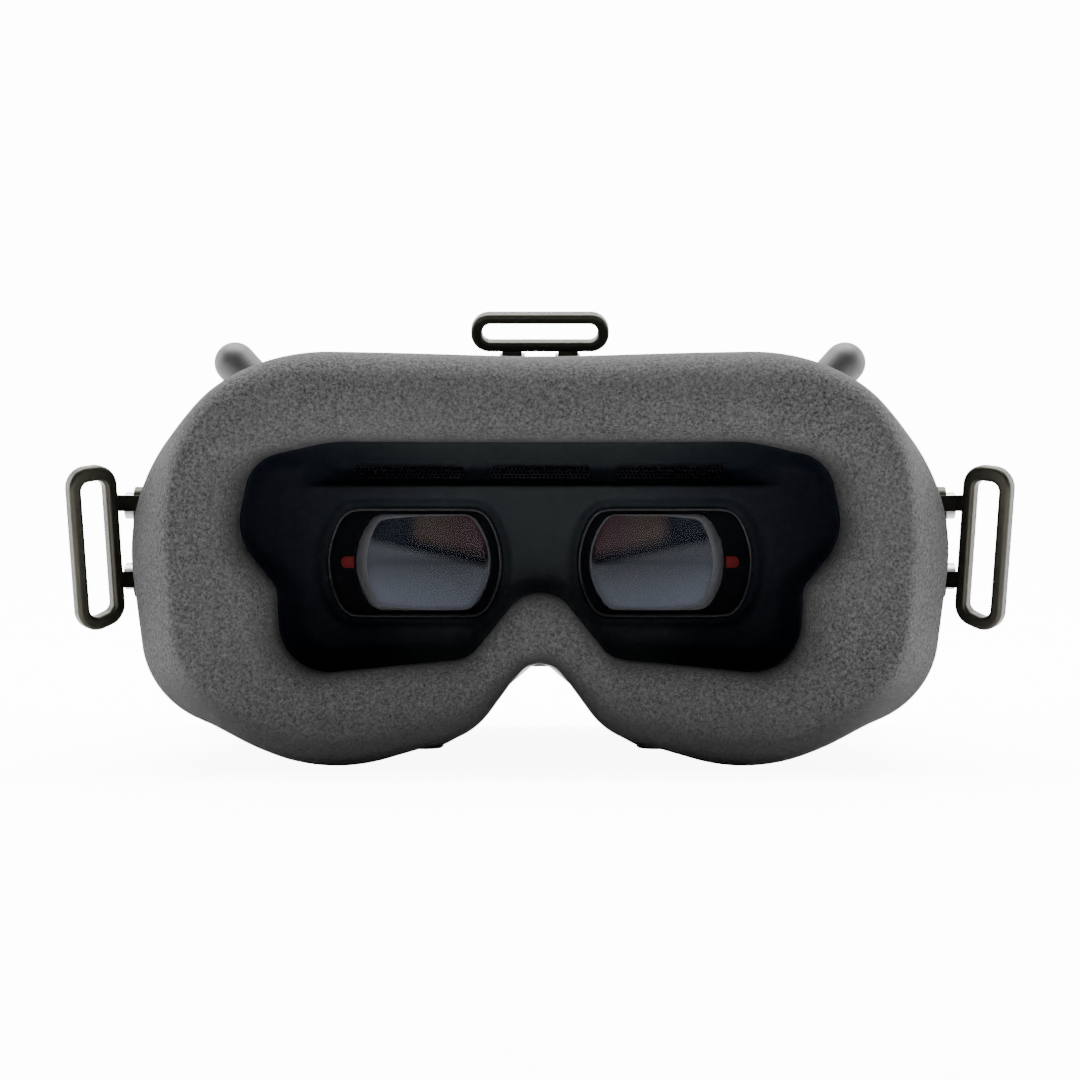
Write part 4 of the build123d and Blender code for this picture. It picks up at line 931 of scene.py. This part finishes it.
# ------------------------------------------------------------------ face curve
RIM_AXIS_Y = -379.0
RIM_RADIUS = 354.0
FLANGE_RADIUS = 352.0
PAD_BASE_RADIUS = 350.9
PAD_AXIS_Y = -363.0
PAD_RADIUS = 314.0
FACE_OPENING: list[Corner] = [
    (50.0, 76.7, 40.0), (68.4, 72.2, 9.5), (72.0, 54.0, 14.0), (62.5, 42.0, 6.0), (61.5, 20.6, 12.0),
    (17.0, 24.8, 8.0), (0.0, 46.0, 9.0),
]
RIM_OUTLINE: list[Corner] = [
    (94.0, 96.0, 43.0), (94.0, 20.0, 27.0), (50.0, -1.0, 39.0), (15.8, 8.0, 17.0), (0.0, 27.0, 6.0),
]


def curve_depth(x: Any, axis_y: float, radius: float) -> Any:
    """Depth of an upright cylinder's far wall at x."""
    return axis_y + np.sqrt(radius * radius - np.square(x))


# ------------------------------------------------------------------ foam pad
@dataclass
class FoamPad:
    """Foam ring that rests on the face: a flat-faced side with a soft crease, rounded above and below."""

    base: list[Corner] = field(default_factory=lambda: [
        (67.3, 97.9, 44.0), (96.2, 69.5, 44.0), (96.2, 48.0, 40.0), (92.3, 15.9, 22.0), (50.0, -2.6, 40.0),
        (15.6, 7.0, 18.0), (0.0, 28.3, 6.9)])
    crest: list[Corner] = field(default_factory=lambda: [
        (70.0, 88.4, 28.0), (83.6, 68.0, 26.0), (83.6, 50.0, 60.0), (81.0, 20.5, 20.0), (50.0, 6.5, 34.0),
        (17.0, 15.5, 15.0), (0.0, 34.5, 8.0)])
    stops: tuple[float, float, float] = (0.5, 3.0, 5.0)
    bulge: float = 0.09
    around: int = 640
    dip: float = 0.8
    dip_width: float = 25.0
    nose_recess: float = 4.0
    ripple: float = 0.22
    crease_x: tuple[float, float] = (58, 80)
    crease_z: tuple[float, float] = (62, 86)
    nose_half_width: float = 17
    nose_z: tuple[float, float] = (40, 60)
    dip_above: float = 80

    def section(self, creased: bool) -> np.ndarray:
        """Cross-section from the outer base over the crest to the inner base.

        Args:
            creased: Whether the outer wall is straight with a crease, or rounded.

        Returns:
            Rows of (share outer to crest, share crest to inner, height), all from 0 to 1.
        """
        outer = np.linspace(0, 1, 22)
        inner = np.linspace(0, 1, 26)[1:]
        wall = np.linspace(0, 1, 6)[1:]
        if creased:
            rise = 1 - (1 - outer) ** 1.12
            a = outer
            b = rise - 0.035 * np.exp(-((1 - outer) / 0.08) ** 2)
            across = inner
            drop = 0.16 * inner + 0.30 * np.clip((inner - 0.72) / 0.28, 0, 1) ** 2.2
            drop += 0.035 * np.exp(-(inner / 0.08) ** 2)
        else:
            turn = outer * math.pi / 2
            a = 1 - np.cos(turn) ** 0.9 - self.bulge * np.sin(np.clip(turn * 1.5, 0, math.pi)) ** 2
            b = np.sin(turn) ** 0.86
            across = np.sin(inner * math.pi / 2) ** 0.92
            drop = 0.46 * (1 - np.cos(inner * math.pi / 2)) ** 1.15
        low = 1 - drop[-1]
        rows = [(u, 0.0, v) for u, v in zip(a, b)]
        rows += [(1.0, u, 1 - v) for u, v in zip(across, drop)]
        rows += [(1.0, 1.0, low * (1 - w)) for w in wall]
        return np.array(rows)

    def points(self) -> np.ndarray:
        """Every vertex, ring by ring round the pad.

        Returns:
            Rings as a (rings, rows, 3) array in millimetres.
        """
        base = HalfOutline(self.base, self.stops)
        crest = HalfOutline(self.crest, self.stops)
        inner = HalfOutline(FACE_OPENING, [0.5, 4, 5])
        shares = np.linspace(0, 4, self.around // 2 + 1)
        halves = [line.at(shares) for line in (base, crest, inner)]
        full = []
        for half in halves:
            back = half[-2:0:-1] * np.array((-1, 1))
            full.append(np.vstack([half, back]))
        outer_line, crest_line, inner_line = full
        soft, hard = self.section(False), self.section(True)
        rings = []
        for o, c, g in zip(outer_line, crest_line, inner_line):
            side = float(smoothstep(*self.crease_x, abs(c[0])) * (1 - smoothstep(*self.crease_z, c[1])))
            rows = soft * (1 - side) + hard * side
            flat = o + (c - o) * rows[:, :1] + (g - c) * rows[:, 1:2]
            nose = math.exp(-(c[0] / self.nose_half_width) ** 2) * float(1 - smoothstep(*self.nose_z, c[1]))
            low = curve_depth(flat[:, 0], RIM_AXIS_Y, PAD_BASE_RADIUS)
            high = curve_depth(np.abs(flat[:, 0]), PAD_AXIS_Y, PAD_RADIUS) + nose * self.nose_recess
            depth = low + (high - low) * rows[:, 2]
            rings.append(np.stack([flat[:, 0], depth, flat[:, 1]], axis=1))
        return np.array(rings)

    def build(self, wardrobe: Wardrobe) -> bpy.types.Object:
        """Make, ripple and dress the pad.

        Args:
            wardrobe: The finishes.

        Returns:
            The pad.
        """
        lattice = self.points()
        top = lattice[:, :, 2] > self.dip_above
        lattice[:, :, 2] -= top * self.dip * np.exp(-np.square(lattice[:, :, 0] / self.dip_width))
        rings, rows = lattice.shape[:2]
        points = lattice.reshape(-1, 3)
        for point in points:
            slow = noise.noise(Vector(point) * 0.045)
            fine = noise.noise(Vector(point) * 0.35)
            point[1] += self.ripple * (slow + 0.25 * fine)
        pad = add_mesh("foam_pad_skin", points, lattice_faces(rings, rows, True, True))
        recalculate_normals(pad)
        subdivision = pad.modifiers.new("smooth_foam", "SUBSURF")
        subdivision.levels = subdivision.render_levels = 1
        put(pad, Finish.FOAM, wardrobe, "face_pad")
        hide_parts("foam_pad")
        return pad


# ------------------------------------------------------------------ face plate
@dataclass
class FacePlate:
    """Moulded plate round the eyes: flange, sloping walls, raised lens plate, vents and window lips."""

    step: float = 0.62
    thickness: float = 1.6
    wall_slope: float = 2.3
    floor_y: float = -12.4
    plate_y: float = -20.0
    plate_top: float = 67.0
    ledge_half_width: float = 59.0
    flat_half_width: float = 42.0
    side_rise: float = 12.5
    side_run: float = 28.0
    blend: float = 3.4
    window_x: float = 30.9
    window_z: float = 47.6
    window: tuple[float, float, float] = (21.5, 13.35, 4.5)
    recess_width: float = 2.9
    recess_depth: float = 2.0
    lip_radius: float = 0.34
    vents: tuple[tuple[float, float], ...] = ((-46.0, -19.0), (-12.6, 12.6), (19.0, 46.0))
    vent_corner: float = 1.1
    vent_bottom: float = 68.6
    vent_height: float = 2.7
    net_pitch: float = 1.0
    net_hole: float = 0.37
    net_front: float = 0.45
    net_back: float = 0.85
    net_row: float = 0.866
    net_reach: float = 0.577

    def soft_least(self, first: np.ndarray, second: np.ndarray) -> np.ndarray:
        """Smaller of two depths, rounded where they meet."""
        share = np.clip(0.5 + 0.5 * (second - first) / self.blend, 0, 1)
        return second * (1 - share) + first * share - self.blend * share * (1 - share)

    def windows(self) -> list[np.ndarray]:
        """Both eye windows, placed, as closed lines."""
        line = lens_outline(*self.window)
        return [line + np.array((sx * self.window_x, self.window_z)) for sx in SIDES.values()]

    def vent_lines(self) -> list[np.ndarray]:
        """The vent openings.

        Returns:
            Each as a closed line.
        """
        lines = []
        for low, high in self.vents:
            top = self.vent_bottom + self.vent_height
            ends = [(high, top), (high, self.vent_bottom), (low, self.vent_bottom), (low, top)]
            lines.append(rounded([(x, z, self.vent_corner) for x, z in ends], 8))
        return lines

    def depth(self, x: np.ndarray, z: np.ndarray) -> np.ndarray:
        """Depth of the moulded surface.

        Args:
            x: Flat array of x values.
            z: Flat array of z values.

        Returns:
            Depth at each point.
        """
        flange = curve_depth(x, RIM_AXIS_Y, FLANGE_RADIUS)
        inward, _ = distance_inside(x, z, rounded(mirrored(FACE_OPENING)))
        wall = flange + np.clip(inward, 0, None) * self.wall_slope
        past = 1 - smoothstep(self.ledge_half_width - 14, self.ledge_half_width, np.abs(x))
        ledge = smoothstep(self.plate_top - 0.4, self.plate_top + 0.4, z)
        bent = np.clip((np.abs(x) - self.flat_half_width) / self.side_run, 0, None)
        plate = self.plate_y - self.side_rise * bent ** 2
        floor = plate + (self.floor_y - plate) * ledge * past
        surface = self.soft_least(wall, floor)
        surface = np.where(inward <= 0, flange, np.maximum(surface, flange))
        for line in self.windows():
            gap, _ = distance_inside(x, z, line)
            near = smoothstep(-self.recess_width, -0.4 * self.recess_width, gap)
            surface = surface + self.recess_depth * near * (gap < 0.5)
        return surface

    def build(self, wardrobe: Wardrobe) -> None:
        """Make the plate, its lips and its vent nets.

        Args:
            wardrobe: The finishes.
        """
        rim = rounded(mirrored(RIM_OUTLINE))
        low, high = rim.min(0), rim.max(0)
        xs = np.arange(low[0] - self.step, high[0] + 2 * self.step, self.step)
        zs = np.arange(low[1] - self.step, high[1] + 2 * self.step, self.step)
        x, z = (a.ravel() for a in np.meshgrid(xs, zs))
        columns, rows = len(xs), len(zs)
        faces = np.array(lattice_faces(rows, columns, False, False))
        keep = np.ones(len(faces), bool)
        centre_x, centre_z = x[faces].mean(1), z[faces].mean(1)
        edges = [(rim, True)] + [(line, False) for line in self.windows() + self.vent_lines()]
        for line, inside in edges:
            gap, _ = distance_inside(centre_x, centre_z, line)
            keep &= (gap > 0) == inside
        faces = faces[keep]
        uses = np.bincount(faces.ravel(), minlength=len(x))
        border = np.nonzero((uses > 0) & (uses < 4))[0]
        for line, _ in edges:
            gap, nearest = distance_inside(x[border], z[border], line)
            close = np.abs(gap) < self.step * 1.3
            x[border[close]] = nearest[close, 0]
            z[border[close]] = nearest[close, 1]
        used = np.nonzero(uses)[0]
        renumber = np.full(len(x), -1)
        renumber[used] = np.arange(len(used))
        x, z = x[used], z[used]
        points = np.stack([x, self.depth(x, z), z], axis=1)
        plate = add_mesh("face_plate_moulding", points, renumber[faces])
        thick = plate.modifiers.new("wall", "SOLIDIFY")
        thick.thickness = self.thickness * MM
        thick.offset = 1.0 if plate.data.polygons[0].normal.y > 0 else -1.0
        put(plate, Finish.FACE, wardrobe)
        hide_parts("face_plate", "lens_plate")
        for side, line in zip(SIDES, self.windows()):
            self.lip(side, line, wardrobe)
        self.net(wardrobe)

    def lip(self, side: str, line: np.ndarray, wardrobe: Wardrobe) -> None:
        """Thin bead round one eye window.

        Args:
            side: Left or right.
            line: The window as a closed line.
            wardrobe: The finishes.
        """
        bead_y = self.plate_y + self.recess_depth - self.lip_radius
        rings = []
        for k in range(12):
            angle = 2 * math.pi * k / 12
            ring = grown(line, self.lip_radius * (math.cos(angle) - 0.6))
            rings.append(placed(ring, bead_y + self.lip_radius * math.sin(angle)))
        put(add_rings(f"window_lip_{side}", rings, close=True), Finish.LIP, wardrobe)

    def net(self, wardrobe: Wardrobe) -> None:
        """Six-sided mesh behind the vents, as one piece of wire cells.

        Args:
            wardrobe: The finishes.
        """
        pitch = self.net_pitch
        levels = ((pitch * self.net_reach, self.net_front), (self.net_hole, self.net_front),
                  (self.net_hole, self.net_back))
        points: list[tuple[float, float, float]] = []
        faces: list[tuple[int, ...]] = []
        for low, high in self.vents:
            rows = int((self.vent_height + 1.0) / (pitch * self.net_row)) + 1
            for j in range(rows):
                count = int((high - low + 1.2) / pitch)
                for i in range(count):
                    cx = low - 0.4 + pitch * (i + 0.5 * (j % 2))
                    cz = self.vent_bottom - 0.3 + j * pitch * self.net_row
                    start = len(points)
                    for radius, y in levels:
                        for k in range(6):
                            angle = math.pi / 6 + k * math.pi / 3
                            points.append((cx + radius * math.cos(angle), y, cz + radius * math.sin(angle)))
                    for ring in (start, start + 6):
                        for k in range(6):
                            n = (k + 1) % 6
                            faces.append((ring + k, ring + n, ring + 6 + n, ring + 6 + k))
        lattice = np.array(points)
        lattice[:, 1] += self.depth(lattice[:, 0], lattice[:, 2])
        net = add_mesh("vent_net", lattice, faces, smooth=False)
        put(net, Finish.DARK_STEEL, wardrobe)
        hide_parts("vent_mesh")


# ------------------------------------------------------------------ optics
@dataclass
class Optics:
    """Both eyes: bevelled lenses, carriers, marks and displays."""

    eye_x: float = 29.0
    eye_z: float = 47.7
    radius: float = 16.8
    half_height: float = 11.9
    corner: float = 2.2
    front_apex: float = -17.9
    front_sphere: float = 94.8
    back_apex: float = -9.0
    back_sphere: float = 71.6
    chamfer: float = 0.4
    outer_chamfer: float = 2.9
    chamfer_depth: float = 0.5
    face_rings: int = 14

    def lens(self, side: str, sx: int, wardrobe: Wardrobe) -> None:
        """Make one lens: domed front and back, ground chamfer and frosted edge.

        Args:
            side: Left or right.
            sx: Which way the side lies along x.
            wardrobe: The finishes.
        """
        line = lens_outline(self.radius - 0.03, self.half_height - 0.03, self.corner)
        centre = (sx * self.eye_x, self.eye_z)
        outward = np.clip(sx * line[:, 0] / self.radius, 0, 1) ** 1.6
        width = self.chamfer + (self.outer_chamfer - self.chamfer) * outward
        inner = line * (1 - width / np.linalg.norm(line, axis=1))[:, None]
        shares = np.linspace(0.02, 1, self.face_rings)
        rings = [self.cap(line * share, centre, self.back_apex, -self.back_sphere) for share in shares]
        rings.append(self.cap(line, centre, self.front_apex, self.front_sphere))
        rings[-1][:, 1] += width * self.chamfer_depth
        rings += [self.cap(inner * share, centre, self.front_apex, self.front_sphere)
                  for share in shares[::-1]]
        lens = add_rings(f"lens_glass_{side}", rings, cap_first=True, cap_last=True)
        put(lens, Finish.LENS, wardrobe, f"eye_lens_{side}")
        lens.data.materials.append(wardrobe.materials[Finish.GROUND])
        around = len(line)
        for face in lens.data.polygons:
            if (self.face_rings - 1) * around <= face.index < (self.face_rings + 1) * around:
                face.material_index = 1
        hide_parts(f"lens_{side}")

    @staticmethod
    def cap(flat: np.ndarray, centre: tuple[float, float], apex: float, sphere: float) -> np.ndarray:
        """Lay a ring on a spherical face.

        Args:
            flat: The ring about the lens's own centre.
            centre: The lens's centre in x and z.
            apex: Depth of the face at its middle.
            sphere: Radius of the face; negative where it bulges forward.

        Returns:
            The placed ring.
        """
        ring = placed(flat, apex, centre)
        ring[:, 1] += np.sum(flat * flat, axis=1) / (2 * sphere)
        return ring

    def build(self, wardrobe: Wardrobe) -> None:
        """Make both lenses and dress the rest of the optics.

        Args:
            wardrobe: The finishes.
        """
        for side, sx in SIDES.items():
            self.lens(side, sx, wardrobe)
            wardrobe.dress_nodes([f"lens_carrier_{side}"], Finish.BLACK)
            wardrobe.dress_nodes([f"ipd_mark_{side}"], Finish.MARK)
            wardrobe.dress_nodes([f"display_panel_{side}"], Finish.PAINTED_DISPLAY_GLOW)
            wardrobe.dress_nodes([f"display_board_{side}"], Finish.BOARD)
            wardrobe.dress_nodes([f"focus_knob_{side}"], Finish.BUTTON)
        wardrobe.dress_nodes(["optics_frame"], Finish.BLACK)
        wardrobe.dress_nodes(["guide_rods", "frame_screws"], Finish.STEEL)


# ------------------------------------------------------------------ housing and the rest
@dataclass
class Housing:
    """Shells, cover and what is inside them."""

    def build(self, wardrobe: Wardrobe) -> None:
        """Dress the housing's nodes.

        Args:
            wardrobe: The finishes.
        """
        wardrobe.dress_nodes(["front_shell", "rear_shell"], Finish.SHELL)
        wardrobe.dress_nodes(["front_cover"], Finish.COVER)
        wardrobe.dress_nodes(["pad_hook_strip"], Finish.HOOKS)
        wardrobe.dress_nodes(["main_board", "control_boards"], Finish.BOARD)
        wardrobe.dress_nodes(["processor_shield", "data_ports", "nav_stem", "nav_gimbal"], Finish.STEEL)
        wardrobe.dress_nodes(["heat_sink"], Finish.ALUMINIUM)
        wardrobe.dress_nodes(["fan_housing", "fan_rotor", "control_switches"], Finish.BLACK)
        wardrobe.dress_nodes(["audio_socket", "av_socket", "power_socket"], Finish.RUBBER)
        wardrobe.dress_nodes(["channel_display"], Finish.SCREEN)
        wardrobe.dress_nodes(["side_bracket_left", "side_bracket_right", "top_bracket"], Finish.BRONZE)
        wardrobe.dress_nodes(["bracket_screws"], Finish.STEEL)
        wardrobe.dress_nodes(["record_button", "back_button", "link_button", "channel_up_button",
                              "channel_down_button", "nav_cap"], Finish.BUTTON)


@dataclass
class Antennas:
    """Rod antennas, nuts and jacks."""

    def build(self, wardrobe: Wardrobe) -> None:
        """Dress the antennas.

        Args:
            wardrobe: The finishes.
        """
        for level in ("upper", "lower"):
            for side in SIDES:
                wardrobe.dress_nodes([f"antenna_{level}_{side}"], Finish.ANTENNA)
                wardrobe.dress_nodes([f"antenna_nut_{level}_{side}"], Finish.NUT)
        wardrobe.dress_nodes(["antenna_jacks"], Finish.GOLD)


# ------------------------------------------------------------------ studio
@dataclass
class Studio:
    """Plain pale sweep, soft lights and the camera."""

    camera_distance: float = 491.0
    camera_height: float = 53.2
    focal: float = 63.87
    sweep_front: float = -1800.0
    sweep_back: float = 900.0
    sweep_height: float = 2200.0
    sweep_radius: float = 500.0
    sweep_lift: float = 9.0
    sweep_half_width: float = 2500.0
    sweep_drop: float = 0.05
    air_strength: float = 0.19
    sensor: float = 36.0

    def sweep(self) -> None:
        """Floor that curves up into a backdrop."""
        profile = [(self.sweep_front, 0.0), (self.sweep_back - self.sweep_radius, 0.0)]
        for k in range(1, 25):
            angle = math.pi / 2 * k / 24
            profile.append((self.sweep_back - self.sweep_radius * (1 - math.sin(angle)),
                            self.sweep_radius * (1 - math.cos(angle))))
        profile.append((self.sweep_back, self.sweep_height))
        edges = (-self.sweep_half_width, self.sweep_half_width)
        points = [(x, y, z - self.sweep_drop) for y, z in profile for x in edges]
        floor = add_mesh("studio_sweep", np.array(points), lattice_faces(len(profile), 2, False, False))
        material, graph, shader = start_material("sweep_white")
        cloud = graph.add("TexNoise", Scale=2.0, Detail=2.0)
        white = graph.mix(cloud.outputs[0], (0.88, 0.88, 0.88), (0.90, 0.90, 0.90))
        graph.feed(shader.inputs["Base Color"], white)
        shader.inputs["Roughness"].default_value = 0.9
        seen = graph.add("LightPath").outputs["Is Camera Ray"]
        graph.feed(shader.inputs["Emission Color"], graph.mix(seen, (0.0, 0.0, 0.0), (1.0, 1.0, 1.0)))
        shader.inputs["Emission Strength"].default_value = self.sweep_lift
        floor.data.materials.append(material)

    def light(self, name: str, place: tuple[float, float, float], aim: tuple[float, float, float],
              size: tuple[float, float], power: float, hidden: bool = False) -> None:
        """Add one soft rectangular light.

        Args:
            name: Light name.
            place: Position in millimetres.
            aim: Point it faces, in millimetres.
            size: Width and height in millimetres.
            power: Watts.
            hidden: Whether the light is left out of mirror-like reflections.
        """
        data = bpy.data.lights.new(name, "AREA")
        data.shape = "RECTANGLE"
        data.size, data.size_y = size[0] * MM, size[1] * MM
        data.energy = power
        lamp = bpy.data.objects.new(name, data)
        bpy.context.scene.collection.objects.link(lamp)
        lamp.visible_glossy = not hidden
        lamp.visible_transmission = False
        lamp.location = Vector(place) * MM
        lamp.rotation_euler = (Vector(aim) - Vector(place)).to_track_quat("-Z", "Y").to_euler()

    def build(self) -> None:
        """Make the sweep, the lights, the world and the camera."""
        self.sweep()
        self.light("top_soft", (0, 0, 1100), (0, 0, 50), (1300, 700), 32)
        self.light("left_soft", (-1100, 150, 350), (0, 0, 50), (700, 900), 18)
        self.light("right_soft", (1100, 150, 350), (0, 0, 50), (700, 900), 18)
        self.light("face_fill", (0, -1500, 700), (0, 0, 50), (1600, 900), 3, hidden=True)
        self.light("backdrop_wash", (0, 300, 1900), (0, 900, 100), (3000, 500), 90)
        self.light("floor_wash", (0, 500, 1000), (0, 500, 0), (3000, 400), 14)
        world = bpy.data.worlds.new("studio_air")
        world.use_nodes = True
        world.node_tree.nodes["Background"].inputs[0].default_value = (1.0, 1.0, 1.0, 1.0)
        world.node_tree.nodes["Background"].inputs[1].default_value = self.air_strength
        bpy.context.scene.world = world
        data = bpy.data.cameras.new("studio_camera")
        data.lens = self.focal
        data.sensor_width = self.sensor
        data.clip_start = 0.01
        data.clip_end = 20.0
        camera = bpy.data.objects.new("studio_camera", data)
        bpy.context.scene.collection.objects.link(camera)
        camera.location = (0.0, -self.camera_distance * MM, self.camera_height * MM)
        camera.rotation_euler = (math.pi / 2, 0.0, 0.0)
        bpy.context.scene.camera = camera


def main() -> None:
    """Build every sub-assembly in order."""
    logging.basicConfig(level=logging.INFO, format="%(name)s: %(message)s")
    wardrobe = Wardrobe()
    for assembly in (Housing(), FacePlate(), Optics(), FoamPad(), Antennas()):
        log.info("building %s", type(assembly).__name__)
        assembly.build(wardrobe)
    Studio().build()


if __name__ == "__main__":
    main()
